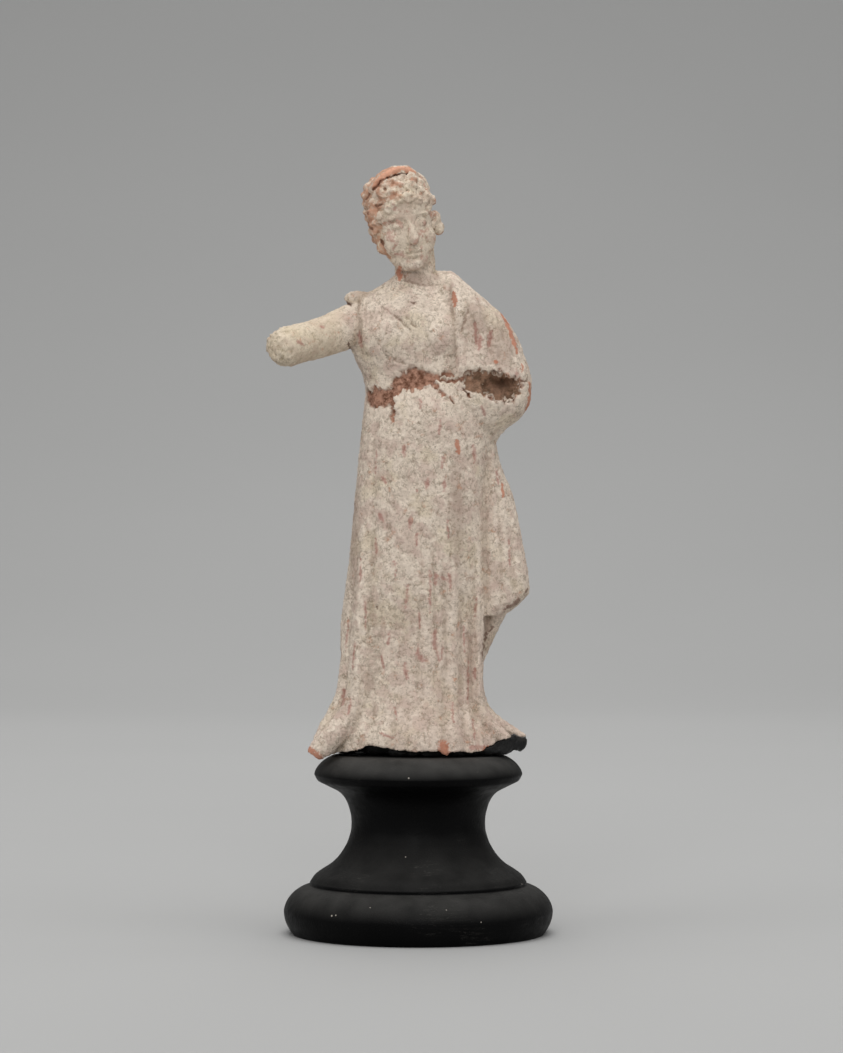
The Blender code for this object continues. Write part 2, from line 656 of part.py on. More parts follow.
def socle_profile():
    """The turned outline, from the middle of the top down the outer side to the middle of the foot."""
    cap = (CAP_RADIUS, SOCLE_HEIGHT - CAP_DROP)
    ledge = (FOOT_RADIUS - LEDGE_SETBACK, FOOT_HEIGHT + LEDGE_STEP)
    waist = (WAIST_RADIUS, ledge[1] + WAIST_SHARE * (cap[1] - ledge[1]))
    foot = (FOOT_RADIUS, FOOT_HEIGHT * FOOT_BULGE)
    points = [(0.0, SOCLE_HEIGHT)]
    points += quarter((CAP_RADIUS - CAP_LIP, SOCLE_HEIGHT), cap, CAP_ROUNDNESS)
    points += moulding(UNDER_CAP, waist, cap)[-2::-1]
    points += moulding(FLARE, waist, ledge)[1:]
    points += quarter((ledge[0] - LEDGE_STEP, FOOT_HEIGHT), foot, FOOT_ROUNDNESS)
    for share in (0.4, 0.75, 1.0):
        points.append((FOOT_RADIUS - FOOT_UNDERCUT * share**2, foot[1] * (1 - share)))
    points.append((0.0, 0.0))
    return points


def socle(parts):
    """The socle, turned about +Z."""
    shape = bmesh.new()
    rim = [shape.verts.new((radius, 0, level)) for radius, level in socle_profile()]
    for upper, lower in zip(rim, rim[1:]):
        shape.edges.new((upper, lower))
    made = new_object("socle", mesh_of(shape, "socle"), parts)
    turning = made.modifiers.new("turning", "SCREW")
    turning.axis = "Z"
    turning.steps = turning.render_steps = SOCLE_SIDES
    turning.use_merge_vertices = True
    turning.merge_threshold = 1e-5
    turning.use_smooth_shade = True
    made.data.materials.append(material("black_paint", (0.012, 0.012, 0.012), 0.55))
    return made


def filler_bed(parts, helpers):
    """The black filler between socle and hem: flat below, rounded at its edge, fitted to the hem above."""
    middle, half_width = (BED_LEFT + BED_RIGHT) / 2, (BED_RIGHT - BED_LEFT) / 2
    x, y = ring_of(middle, half_width, BED_FRONT, BED_BACK, BED_CORNER, BED_SIDES)
    centre_y = (BED_FRONT + BED_BACK) / 2
    floor = SOCLE_HEIGHT + GAP
    rings = []
    for height, spread in BED_EDGE:
        ring = [percent(middle + (a - middle) * spread, centre_y + (b - centre_y) * spread, 0) for a, b in zip(x, y)]
        rings.append([point + Vector((0, 0, floor + height * BED_HEIGHT * PERCENT)) for point in ring])
    made = new_object("filler_bed", mesh_of(loft(rings), "filler_bed"), parts)
    cut(made, over_hem(helpers), "hem")
    made.data.materials.append(material("black_filler", (0.015, 0.014, 0.013), 0.45))
    return made


def build():
    for obj in list(bpy.data.objects):
        bpy.data.objects.remove(obj, do_unlink=True)
    parts = bpy.data.collections.new("standing_figurine")
    helpers = bpy.data.collections.new("cutters")
    bpy.context.scene.collection.children.link(parts)
    bpy.context.scene.collection.children.link(helpers)
    socle(parts)
    filler_bed(parts, helpers)
    figurine(parts, helpers)


build()
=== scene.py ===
"""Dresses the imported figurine: fired clay under worn cream slip, black filler and a painted, turned socle.

The file is laid out as an add-on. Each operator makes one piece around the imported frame, in metres with
+Z up; the woman faces -Y and +X is to the viewer's right. Run as a script it makes every piece in turn.
"""

import math

import bmesh
import bpy
import numpy as np
from bpy.props import FloatProperty, FloatVectorProperty, IntProperty, PointerProperty
from mathutils import Euler, Matrix, Vector


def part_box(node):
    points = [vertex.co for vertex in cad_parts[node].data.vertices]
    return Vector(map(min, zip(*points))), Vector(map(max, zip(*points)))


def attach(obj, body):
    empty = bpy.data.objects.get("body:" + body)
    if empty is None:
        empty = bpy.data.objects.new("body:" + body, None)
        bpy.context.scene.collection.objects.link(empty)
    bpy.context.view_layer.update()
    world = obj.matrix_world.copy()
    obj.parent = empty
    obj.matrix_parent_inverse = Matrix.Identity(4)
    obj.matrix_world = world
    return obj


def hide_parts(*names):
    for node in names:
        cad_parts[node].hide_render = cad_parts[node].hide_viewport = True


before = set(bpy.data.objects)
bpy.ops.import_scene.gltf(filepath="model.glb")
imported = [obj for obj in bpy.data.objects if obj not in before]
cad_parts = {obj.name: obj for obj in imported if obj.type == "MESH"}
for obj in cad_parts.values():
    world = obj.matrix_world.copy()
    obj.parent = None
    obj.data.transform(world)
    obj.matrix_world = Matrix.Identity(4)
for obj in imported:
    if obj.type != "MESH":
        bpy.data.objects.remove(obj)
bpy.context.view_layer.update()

bl_info = {
    "name": "Draped Clay Figurine",
    "version": (1, 0, 0),
    "blender": (4, 5, 0),
    "location": "3D View > Sidebar > Figurine",
    "description": "Models a small fired clay woman with worn slip, on a turned black socle",
    "category": "Add Mesh",
}

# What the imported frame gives
FIGURE_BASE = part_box("figurine")[0].z
SOCLE_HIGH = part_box("socle")[1]

# One percent of the figurine's height, and the gap between filler and hem, in metres
PERCENT = 0.147 / 100
GAP = 0.0003

# The socle's mouldings
FOOT_HEIGHT = 0.0123
FOOT_UNDERCUT = 0.0022
LEDGE_SETBACK = 0.0065
LEDGE_STEP = 0.0005
WAIST_RADIUS = 0.0167
CAP_RADIUS = 0.0260
CAP_LIP = 0.0058
CAP_DROP = 0.0049

# Levels of the foot's widest line and of the waist, as shares of the foot and of the hollow above it
FOOT_BULGE, WAIST_SHARE = 0.45, 0.55

# The hollow moulding of the socle below and above its waist: (share of height, share of spread)
FLARE = ((0.0, 0.0), (0.1, 0.009), (0.3, 0.085), (0.44, 0.185), (0.57, 0.315), (0.69, 0.49), (0.8, 0.73),
         (0.885, 0.888), (1.0, 1.0))
UNDER_CAP = ((0.0, 0.0), (0.1, 0.006), (0.3, 0.06), (0.47, 0.145), (0.63, 0.31), (0.8, 0.717), (0.88, 0.913),
             (1.0, 1.0))
FOOT_ROUNDNESS, CAP_ROUNDNESS = 1.8, 1.65

# The figurine's own shape follows. Every number in these tables is a percent of its height, measured
# from the lowest point of the hem and from the axis of the socle. Columns of the drapes are
# (level, left, right, front, back).
BODY = (
    (-3.0, -15.2, 15.6, -11.0, 10.0),
    (3.1, -14.4, 14.2, -10.4, 9.6),
    (5.7, -13.7, 12.4, -9.4, 9.2),
    (8.4, -13.2, 11.0, -8.5, 8.8),
    (11.1, -13.0, 10.6, -8.0, 8.4),
    (19.3, -13.2, 11.0, -7.7, 8.0),
    (32.9, -11.7, 11.5, -8.4, 7.5),
    (46.5, -10.4, 12.3, -8.8, 7.3),
    (58.7, -9.2, 13.0, -7.8, 6.3),
    (61.4, -8.9, 12.2, -7.2, 6.0),
    (64.2, -9.4, 10.8, -6.8, 5.8),
    (66.9, -10.6, 9.8, -7.2, 5.8),
    (69.6, -11.5, 9.3, -7.6, 5.9),
    (73.7, -11.6, 9.1, -7.0, 6.0),
    (76.2, -11.4, 8.6, -5.8, 5.6),
    (77.8, -9.9, 7.4, -4.7, 5.0),
    (79.0, -7.2, 5.6, -4.0, 4.4),
    (81.3, -3.9, 3.0, -3.1, 3.5),
)
SHOULDER_DRAPE = (
    (52.4, 8.0, 12.8, -3.4, 4.0),
    (54.6, 6.0, 14.3, -4.6, 4.4),
    (57.4, 4.0, 17.6, -6.6, 4.9),
    (60.1, 3.0, 19.0, -7.7, 5.4),
    (62.8, 3.0, 19.2, -8.0, 5.8),
    (68.2, 2.5, 17.8, -7.4, 6.4),
    (73.7, 2.0, 15.0, -6.2, 6.5),
    (76.4, 2.0, 12.2, -5.2, 6.1),
    (79.1, 2.2, 9.1, -4.0, 5.3),
    (82.0, 2.6, 5.8, -1.2, 3.6),
)
HANGING_DRAPE = (
    (23.6, 8.0, 14.6, -4.4, 1.8),
    (25.6, 8.0, 17.3, -5.0, 2.4),
    (27.6, 8.0, 18.8, -5.0, 2.6),
    (38.3, 8.0, 17.2, -5.0, 3.1),
    (43.8, 8.0, 16.0, -4.8, 3.2),
    (49.2, 8.0, 13.9, -4.3, 3.2),
    (53.3, 8.0, 13.0, -4.0, 3.0),
)
BACK_DRAPE = (
    (9.0, 4.0, 10.9, 0.2, 8.0),
    (13.8, 4.0, 10.9, 0.2, 7.8),
    (19.3, 4.0, 12.9, 0.2, 7.5),
    (26.1, 4.0, 15.6, 0.2, 7.3),
    (34.0, 4.0, 15.6, 0.2, 7.2),
    (56.0, 4.0, 12.0, 0.2, 6.4),
)
BODY_CORNER, DRAPE_CORNER, HEAD_CORNER = 2.3, 2.1, 2.15

# Tubes of cloth and limb. Columns are (x, y, level, radius).
FRONT_LEFT_FOLD = (
    (-8.9, -5.6, 36.0, 0.7),
    (-9.4, -5.5, 29.0, 1.3),
    (-9.7, -5.3, 21.0, 1.7),
    (-9.9, -5.3, 14.0, 1.9),
    (-10.4, -5.7, 9.0, 1.9),
    (-12.2, -6.3, 5.7, 2.0),
    (-14.6, -6.7, 3.0, 2.1),
    (-16.9, -6.6, 0.6, 1.8),
)
OUTER_LEFT_FOLD = (
    (-11.4, -2.4, 24.0, 1.0),
    (-11.8, -2.0, 17.0, 1.3),
    (-12.1, -1.8, 12.0, 1.5),
    (-12.7, -1.8, 9.0, 1.5),
    (-14.2, -2.0, 6.4, 1.5),
    (-15.8, -2.5, 3.6, 1.5),
    (-17.0, -3.2, 0.6, 1.4),
)
FRONT_RIGHT_FOLD = (
    (9.9, -4.2, 50.0, 0.8),
    (10.0, -4.3, 36.0, 1.0),
    (9.9, -4.2, 22.0, 1.1),
    (9.7, -4.2, 11.5, 1.2),
    (10.3, -4.6, 7.4, 1.2),
    (12.2, -5.2, 4.8, 1.2),
    (14.9, -5.4, 2.6, 1.1),
)
OUTER_RIGHT_FOLD = (
    (9.8, -0.6, 16.0, 0.9),
    (9.9, -0.8, 10.2, 1.1),
    (11.2, -1.0, 7.0, 1.2),
    (13.6, -1.2, 4.9, 1.2),
    (17.4, -1.2, 2.6, 1.0),
)
ARM = (
    (-7.5, 0.6, 74.6, 3.6),
    (-11.6, -2.0, 72.5, 3.6),
    (-15.4, -5.2, 70.7, 3.3),
    (-19.2, -8.6, 69.5, 3.25),
    (-22.2, -11.1, 68.5, 3.3),
)
NECK = (
    (-0.5, 0.6, 77.0, 3.9),
    (-0.6, 0.4, 80.0, 3.45),
    (-0.4, 0.1, 83.0, 3.35),
    (-1.2, 0.2, 87.5, 3.6),
)

# Soft lumps of the body. Columns are (x, y, level, half width, half depth, half height).
BODY_LUMPS = (
    (-5.6, -3.6, 70.4, 4.4, 4.4, 4.6),  # her right breast
    (3.8, -3.7, 70.4, 4.4, 4.3, 4.6),  # her left breast
    (-10.2, -1.4, 77.3, 2.3, 2.0, 1.25),  # button of the sleeve on the shoulder
)

# The head, in its own frame: columns are (level, half width, front, back).
HEAD_CENTRE = (-3.0, -0.9, 90.2)
HEAD_PITCH, HEAD_LEAN, HEAD_TURN = math.radians(5), math.radians(-10), math.radians(16)
HEAD = (
    (-8.0, 1.2, -4.7, -2.7),
    (-7.5, 2.3, -5.4, -1.4),
    (-6.4, 3.1, -5.8, 0.4),
    (-4.7, 3.9, -5.9, 2.4),
    (-2.8, 4.7, -5.9, 4.0),
    (-1.0, 4.95, -5.8, 5.2),
    (1.0, 5.1, -5.9, 6.0),
    (3.0, 5.0, -5.8, 6.3),
    (5.0, 4.7, -5.2, 6.0),
    (6.9, 3.8, -3.8, 4.8),
    (8.2, 2.0, -1.8, 2.8),
)
NOSE = ((0.0, -5.3, 1.6, 0.5), (0.0, -5.8, 0.2, 0.55), (0.0, -6.3, -1.6, 0.7), (0.0, -6.5, -2.9, 0.95))
FACE_LUMPS = (
    (0.0, -5.1, -6.9, 1.5, 1.15, 1.15),  # chin
    (-2.5, -3.9, -3.0, 2.1, 1.6, 2.5),  # cheeks
    (2.5, -3.9, -3.0, 2.1, 1.6, 2.5),
    (0.0, -5.75, -4.75, 1.3, 0.6, 0.4),  # lips
    (0.0, -5.7, -5.5, 1.05, 0.6, 0.45),
    (-2.1, -5.0, -0.2, 1.1, 0.65, 0.6),  # eyes
    (2.1, -5.0, -0.2, 1.1, 0.65, 0.6),
    (-2.2, -5.05, 1.1, 1.5, 0.6, 0.5),  # brows
    (2.2, -5.05, 1.1, 1.5, 0.6, 0.5),
)
HAIR_LUMPS = (
    (-2.1, 1.9, 4.6, 3.3, 4.4, 3.6),  # hair drawn back over the skull
    (2.8, 1.7, 4.7, 3.4, 4.3, 3.8),
    (0.0, 2.2, 2.4, 5.3, 5.5, 5.2),
    (0.0, 3.9, -0.8, 4.4, 4.1, 4.6),
    (0.2, 7.4, 2.2, 3.0, 2.4, 2.8),  # knot at the back
    (-4.75, -0.7, -0.5, 1.3, 1.3, 1.2),  # locks by her right ear
    (-4.4, -1.0, -2.2, 0.9, 1.1, 0.9),
    (-4.0, -1.7, -3.5, 1.3, 1.3, 1.3),
    (5.7, -1.5, -0.2, 0.95, 1.1, 1.4),  # lock by her left ear
    (6.0, -1.5, -1.8, 1.1, 1.1, 1.2),
)
# Rows of curls from ear to ear: (count, first and last angle, side, level of its middle, rise, size)
CURL_ROWS = (
    (13, -82, 82, 4.8, -1.4, 5.6, 1.1),
    (12, -84, 84, 5.15, -0.2, 6.5, 1.15),
    (10, -80, 76, 5.2, 1.1, 6.5, 1.15),
)
CURL_SINK = 0.15
# Loose curls beside her right ear: (x, y, level, size)
SIDE_CURLS = (
    (-4.9, -1.0, 0.7, 0.95), (-4.9, 0.3, -0.4, 0.95), (-4.7, -1.5, -0.7, 0.95), (-4.6, -0.3, -1.8, 0.9),
    (-4.3, -1.9, -2.2, 0.85), (-4.2, -0.8, -3.2, 0.95), (-4.1, -2.2, -3.9, 0.95),
)
# The rise of hair over the crown, as (x, y, level, radius)
CREST = (
    (-4.3, -0.8, 6.4, 0.8), (-3.0, -1.3, 7.9, 0.95), (-1.0, -1.6, 8.7, 0.95), (1.0, -1.6, 8.8, 0.9),
    (2.6, -1.2, 8.3, 0.8), (3.8, -0.6, 7.3, 0.6),
)

# Carved folds on the front. Each is (depth, half width, ((level, x), ...)): a groove where depth is
# negative and a ridge where it is positive.
FRONT_FOLDS = (
    (-0.85, 1.5, ((-4.0, -8.8), (9.0, -7.4), (18.0, -7.0), (26.0, -7.0))),
    (-0.65, 3.4, ((9.0, -3.4), (16.0, -3.2), (24.0, -3.0))),
    (-0.40, 0.5, ((10.0, -0.2), (16.0, 0.0), (28.0, 0.4))),
    (0.35, 1.3, ((-2.0, 1.6), (16.0, 1.4), (32.0, 1.6))),
    (-0.40, 0.5, ((13.0, 3.3), (19.0, 2.8), (36.0, 2.4))),
    (-0.35, 0.5, ((12.0, 4.6), (20.0, 4.5), (32.0, 4.2))),
    (0.35, 0.9, ((-2.0, 6.2), (14.0, 6.1), (30.0, 6.0))),
    (-0.85, 0.7, ((-1.0, 8.4), (9.0, 7.4), (20.0, 7.2), (28.0, 7.4))),
    (-0.75, 0.6, ((-1.0, 10.4), (9.0, 8.8), (20.0, 8.6), (26.0, 8.6))),
    (-0.80, 0.7, ((10.0, 11.6), (26.0, 11.5), (42.0, 11.3), (54.0, 11.6))),
    (-0.50, 0.6, ((24.0, 14.0), (34.0, 13.9), (46.0, 13.2))),
    (-0.45, 0.5, ((26.0, 16.2), (36.0, 15.8), (42.0, 15.0))),
    (-0.45, 0.6, ((22.0, -7.9), (34.0, -7.6), (48.0, -7.4), (56.0, -7.2))),
    (-0.45, 0.6, ((6.0, -12.4), (12.0, -11.6), (20.0, -11.4), (30.0, -11.0))),
    (-0.45, 0.7, ((-3.0, -4.9), (6.0, -4.0), (9.0, -3.6))),
    (-0.40, 0.6, ((-3.0, 4.8), (5.0, 4.2), (8.0, 3.9))),
    (-0.45, 0.6, ((-3.0, 12.6), (4.0, 11.2), (8.0, 10.0))),
    (-0.65, 0.6, ((68.5, 9.9), (73.0, 9.3), (76.5, 8.2))),
    (-0.55, 0.5, ((67.0, 12.2), (71.0, 12.0), (74.0, 11.0))),
    (-0.40, 0.5, ((69.0, 14.8), (72.0, 14.2), (74.5, 13.0))),
    (-0.45, 0.5, ((68.0, -9.6), (72.0, -9.9), (77.0, -9.2))),
    (-0.35, 0.4, ((70.0, -8.4), (77.0, -8.0))),
)
BACK_FOLDS = (
    (-0.70, 1.0, ((0.5, -9.0), (14.0, -7.4), (34.0, -6.6), (50.0, -6.0))),
    (-0.60, 0.9, ((0.5, -3.4), (14.0, -2.8), (30.0, -2.4))),
    (-0.70, 1.0, ((0.5, 2.6), (14.0, 2.2), (38.0, 2.0))),
    (-0.60, 0.9, ((0.5, 8.6), (14.0, 7.4), (32.0, 7.0))),
    (0.60, 1.2, ((40.0, -9.0), (52.0, -3.0), (62.0, 3.0), (72.0, 8.6))),
    (-0.60, 1.0, ((44.0, -9.0), (56.0, -3.0), (66.0, 3.0), (75.0, 8.6))),
    (0.50, 1.2, ((56.0, -8.6), (65.0, -3.0), (73.0, 2.6))),
)

# Broad mounds of the front as (height, x, level, half width, half height), and the raised edge of the
# mantle where it crosses the chest
MOUNDS = ((1.2, 3.8, 57.5, 6.5, 5.5), (0.5, -4.5, 54.0, 5.0, 8.0))
MANTLE_EDGE = ((60.0, 6.6), (66.0, 6.6), (72.0, 6.4), (77.0, 6.0), (82.0, 5.0))
MANTLE_STEP = 0.8

# The broken strip across the waist, as strokes of (x, level, half width), and the hollow sleeve
BREAK_STROKES = (
    ((-8.9, 60.3, 0.6), (-8.0, 60.4, 1.6), (-6.9, 60.4, 1.9), (-5.7, 60.2, 1.8), (-5.0, 60.1, 1.1),
     (-4.1, 60.9, 0.51), (-3.5, 62.5, 1.28), (-2.1, 63.1, 1.79), (-0.6, 63.5, 2.13), (0.8, 63.5, 1.79),
     (1.8, 63.4, 1.36), (3.0, 63.6, 0.61), (4.4, 63.2, 0.26), (5.7, 63.0, 0.26), (7.4, 63.3, 0.3)),
    ((-4.3, 59.4, 0.2), (-4.4, 58.2, 0.3), (-4.4, 57.2, 0.5), (-4.4, 56.2, 0.25)),
    ((2.8, 62.5, 0.26), (3.7, 61.4, 0.34), (4.3, 60.6, 0.24)),
    ((3.5, 64.0, 0.2), (4.7, 64.3, 0.44), (5.6, 64.0, 0.24)),
    ((5.6, 60.1, 0.2), (5.9, 59.3, 0.22)),
    ((7.6, 61.8, 0.2), (8.1, 60.9, 0.32), (8.7, 60.3, 0.2)),
    ((7.6, 63.5, 0.6), (9.0, 63.3, 1.53), (11.0, 62.6, 2.04), (13.0, 62.1, 2.55), (14.7, 61.4, 2.21),
     (16.1, 62.0, 1.53), (17.0, 62.2, 0.85)),
    ((17.1, 63.2, 0.16), (18.7, 63.1, 0.18)),
)
SLEEVE_HOLLOWS = (
    (13.8, -7.0, 62.1, 3.5, 4.2, 2.25),
    (10.6, -7.4, 62.6, 3.0, 2.2, 2.0),
)
HOLLOW_LEAN = math.radians(6)
# Where the sleeve's hollow is painted darkest, as shade: (x, level, half width, half height)
DARKEST_HOLLOW = ((14.4, 62.9, 2.2, 1.5),)

# The ragged lower edge of the hem, as (x, level), and the size of its small nicks
HEM_EDGE = (
    (-24.0, 0.9), (-18.8, 0.9), (-17.7, 0.2), (-17.0, -0.4), (-16.2, -0.5), (-15.6, 0.0), (-14.5, 0.1),
    (-12.9, 0.5), (-11.6, 0.8), (-10.3, 1.1), (-8.4, 1.8), (-5.7, 1.5), (-3.1, 1.1), (2.0, 1.0), (3.6, 0.9),
    (4.0, 0.5), (4.8, 0.4), (5.3, 0.9), (8.7, 0.7), (10.4, 0.7), (11.7, 1.5), (13.0, 2.3), (14.8, 2.9),
    (16.0, 3.5), (17.6, 2.9), (24.0, 2.8),
)
HEM_NICK, NICK_STEP = 0.3, 0.25
CUTTER_REACH = 30.0

# Where one region of the figurine ends and the next starts, in percent: the head above the cloth, the
# broken sleeve to the viewer's right, and the bare arm and its broken end to the left
NECK_LEVEL, SLEEVE_SIDE, ARM_LEVEL = 82.0, 7.0, 60.0
BARE_LIMB, STUMP = (11.0, 14.5), (20.6, 22.6)
HEAD_THINNING = 0.35

# The filler's outline in plan, and how its edge rounds off as (share of its height, share of its plan)
BED_LEFT, BED_RIGHT, BED_FRONT, BED_BACK = -14.2, 18.4, -8.6, 8.2
BED_EDGE = ((0.0, 0.95), (0.15, 0.985), (0.5, 1.0), (0.8, 0.97), (1.0, 0.9))
BED_HEIGHT, BED_CORNER = 4.4, 2.2

# Thin folds and creases that only the worn surface shows, in the same columns as the broad folds
FINE_FOLDS = (
    (-0.28, 0.28, ((69.0, -10.3), (73.0, -10.5), (77.0, -9.9))),
    (-0.22, 0.26, ((70.0, -6.6), (74.0, -6.2), (77.5, -5.2))),
    (-0.20, 0.30, ((66.0, -8.4), (69.0, -7.2), (72.0, -3.6))),
    (-0.30, 0.30, ((72.0, 7.4), (75.0, 7.9), (78.0, 7.4))),
    (-0.28, 0.28, ((67.0, 7.6), (71.0, 8.4), (74.5, 8.6))),
    (-0.30, 0.30, ((65.5, 13.6), (69.0, 13.8), (73.0, 12.6))),
    (-0.26, 0.28, ((66.5, 16.2), (69.0, 15.8), (71.5, 15.0))),
    (0.24, 0.45, ((8.0, 3.0), (18.0, 3.7), (32.0, 3.4))),
    (-0.24, 0.28, ((26.0, 5.6), (34.0, 5.4), (46.0, 5.0))),
    (-0.26, 0.30, ((6.0, 9.7), (20.0, 9.6), (29.0, 9.5))),
    (0.30, 0.45, ((8.0, 10.4), (22.0, 10.0), (36.0, 10.3))),
    (-0.26, 0.30, ((26.0, 12.7), (34.0, 12.6), (48.0, 12.0))),
    (-0.22, 0.28, ((36.0, -5.4), (46.0, -5.2), (55.0, -5.6))),
    (-0.20, 0.30, ((30.0, 0.6), (40.0, 0.2), (52.0, -0.8))),
    (0.22, 0.50, ((10.0, -5.2), (18.0, -5.4), (30.0, -5.2))),
    (-0.26, 0.30, ((4.0, -10.4), (10.0, -9.6), (22.0, -9.2))),
    (-0.30, 0.34, ((-2.0, -13.6), (3.0, -12.4), (7.0, -10.6))),
    (-0.26, 0.30, ((-2.0, -2.4), (4.0, -1.9), (9.0, -1.7))),
    (-0.26, 0.30, ((-2.0, 2.2), (5.0, 1.6), (10.0, 1.5))),
)

# The curls: turns of each coil, thickness of its strand and how far it domes, as shares of its radius
COIL_TURNS, COIL_STRAND, COIL_DOME = 1.3, 0.3, 0.75

# Features of the calm, plain face, in the head's frame: soft swellings as (height, x, level, half width,
# half height), and lines as (height, half width, x from, x to, level of their ends, rise at the middle)
FACE_SWELLS = (
    (-0.55, 2.05, 0.1, 1.35, 0.72),
    (-0.55, -2.05, 0.1, 1.35, 0.72),
    (0.46, 2.1, -0.1, 0.92, 0.44),
    (0.46, -2.1, -0.1, 0.92, 0.44),
    (0.16, 2.9, -2.4, 1.3, 1.2),
    (0.16, -2.9, -2.4, 1.3, 1.2),
    (-0.28, 0.0, -6.1, 1.2, 0.34),
    (-0.12, 0.0, -4.1, 0.26, 0.36),
)
FACE_LINES = (
    (0.24, 0.19, 1.0, 3.15, -0.15, 0.58),
    (0.24, 0.19, -3.15, -1.0, -0.15, 0.58),
    (-0.20, 0.18, 0.9, 3.3, 0.0, 0.98),
    (-0.20, 0.18, -3.3, -0.9, 0.0, 0.98),
    (0.15, 0.17, 1.15, 3.0, -0.25, -0.42),
    (0.15, 0.17, -3.0, -1.15, -0.25, -0.42),
    (-0.34, 0.17, -1.45, 1.45, -5.12, 0.06),
)

# The raised band that runs over the crown, in the head's frame as (x, y, level, radius)
CROWN_BAND = (
    (-3.9, -1.4, 6.7, 0.31), (-3.2, -2.2, 7.6, 0.37), (-2.4, -2.5, 8.2, 0.44), (-1.2, -2.6, 8.7, 0.51),
    (-0.1, -2.6, 9.0, 0.58), (1.0, -2.5, 8.9, 0.54), (2.2, -1.9, 8.4, 0.41), (2.9, -1.7, 7.9, 0.24),
)
STRANDS = 26

# Deep marks and thin creases on the front, pressed in and painted dark as shade: (depth, ((x, level, half
# width), ...))
DEEP_MARKS = (
    (0.5, ((-7.5, 95.5, 0.26), (-6.1, 96.9, 0.2), (-4.6, 97.6, 0.16), (-3.1, 98.1, 0.13), (-1.7, 98.2, 0.1))),
    (0.6, ((-13.0, 76.9, 0.16), (-12.3, 76.5, 0.26), (-11.4, 76.1, 0.16))),
    (0.6, ((-11.7, 69.6, 0.13), (-11.6, 68.6, 0.18))),
    (0.5, ((-6.3, 86.9, 0.22), (-5.9, 86.4, 0.3))),
    (0.4, ((-8.3, 94.9, 0.15), (-8.7, 94.0, 0.2))),
    (0.4, ((-8.7, 91.8, 0.15), (-8.5, 91.3, 0.2))),
    (0.4, ((-8.2, 89.3, 0.15), (-7.8, 88.8, 0.2))),
    (0.4, ((-7.2, 92.8, 0.13), (-6.6, 92.6, 0.22), (-6.1, 92.8, 0.13))),
    (0.4, ((-6.9, 25.2, 0.16), (-6.8, 24.8, 0.16))),
    (0.4, ((-1.3, 76.4, 0.13), (-0.7, 76.1, 0.18))),
    (0.22, ((-9.9, 77.1, 0.18), (-10.1, 74.9, 0.24), (-9.9, 72.8, 0.22), (-9.6, 69.6, 0.18))),
    (0.22, ((-8.9, 76.7, 0.18), (-8.9, 74.6, 0.24), (-8.8, 72.0, 0.18))),
    (0.25, ((-6.0, 75.6, 0.18), (-3.0, 73.2, 0.21), (-1.2, 71.3, 0.18))),
    (0.25, ((-2.0, 73.8, 0.18), (-0.5, 72.2, 0.21))),
    (0.25, ((-7.4, 70.6, 0.18), (-5.0, 66.8, 0.21), (-2.0, 65.9, 0.18))),
    (0.3, ((8.3, 75.1, 0.18), (7.9, 73.2, 0.29), (7.2, 71.4, 0.18))),
    (0.2, ((9.4, 73.2, 0.18), (9.9, 70.6, 0.32), (9.6, 68.6, 0.18))),
    (0.2, ((12.7, 72.0, 0.18), (12.3, 70.4, 0.32), (11.6, 68.6, 0.18))),
    (0.2, ((5.4, 79.6, 0.21), (5.6, 76.5, 0.32), (5.9, 72.0, 0.32), (6.3, 67.0, 0.21))),
    (0.25, ((-2.6, 81.8, 0.18), (-2.1, 80.2, 0.26), (0.6, 79.3, 0.26), (3.4, 79.4, 0.18))),
)

# Where bare orange clay shows and where the hanging cloth's broken tip is brown, as strokes of
# (x, level, half width)
BARE_STROKES = (
    ((13.7, 75.2, 0.12), (14.7, 73.7, 0.22), (15.6, 71.5, 0.31), (16.3, 69.3, 0.32), (16.8, 67.6, 0.14)),
    ((18.8, 63.0, 0.17), (19.0, 60.8, 0.27), (18.5, 58.4, 0.31), (17.3, 56.5, 0.15)),
    ((5.9, 78.3, 0.15), (6.1, 76.8, 0.41), (6.2, 75.6, 0.15)),
    ((6.6, 52.8, 0.26), (6.8, 51.2, 0.36), (6.9, 50.6, 0.14)), ((12.9, 66.4, 0.34), (13.9, 66.2, 0.15)),
    ((14.9, 64.2, 0.27), (15.3, 63.5, 0.2)), ((17.5, 65.9, 0.2), (17.6, 64.5, 0.17)),
    ((-3.3, 82.2, 0.4), (-3.2, 81.3, 0.5), (-3.1, 80.5, 0.3)),
    ((-17.2, 0.2, 0.68), (-16.4, -0.8, 0.61), (-15.4, -0.8, 0.27)), ((-18.4, 1.2, 0.37), (-17.9, 0.7, 0.51)),
    ((4.2, 2.1, 0.75), (4.4, 0.7, 0.92)), ((11.7, 1.1, 0.58), (10.8, 0.4, 0.41)),
    ((14.1, 46.0, 0.19), (14.4, 43.8, 0.2)),
)
TORN_TIPS = (
    ((14.6, 24.6, 0.25), (16.0, 25.3, 0.5), (17.1, 26.3, 0.35)), ((17.9, 27.1, 0.2), (18.6, 28.0, 0.25)),
    ((12.7, 21.4, 0.2), (11.4, 19.9, 0.25), (10.8, 16.7, 0.14)),
)

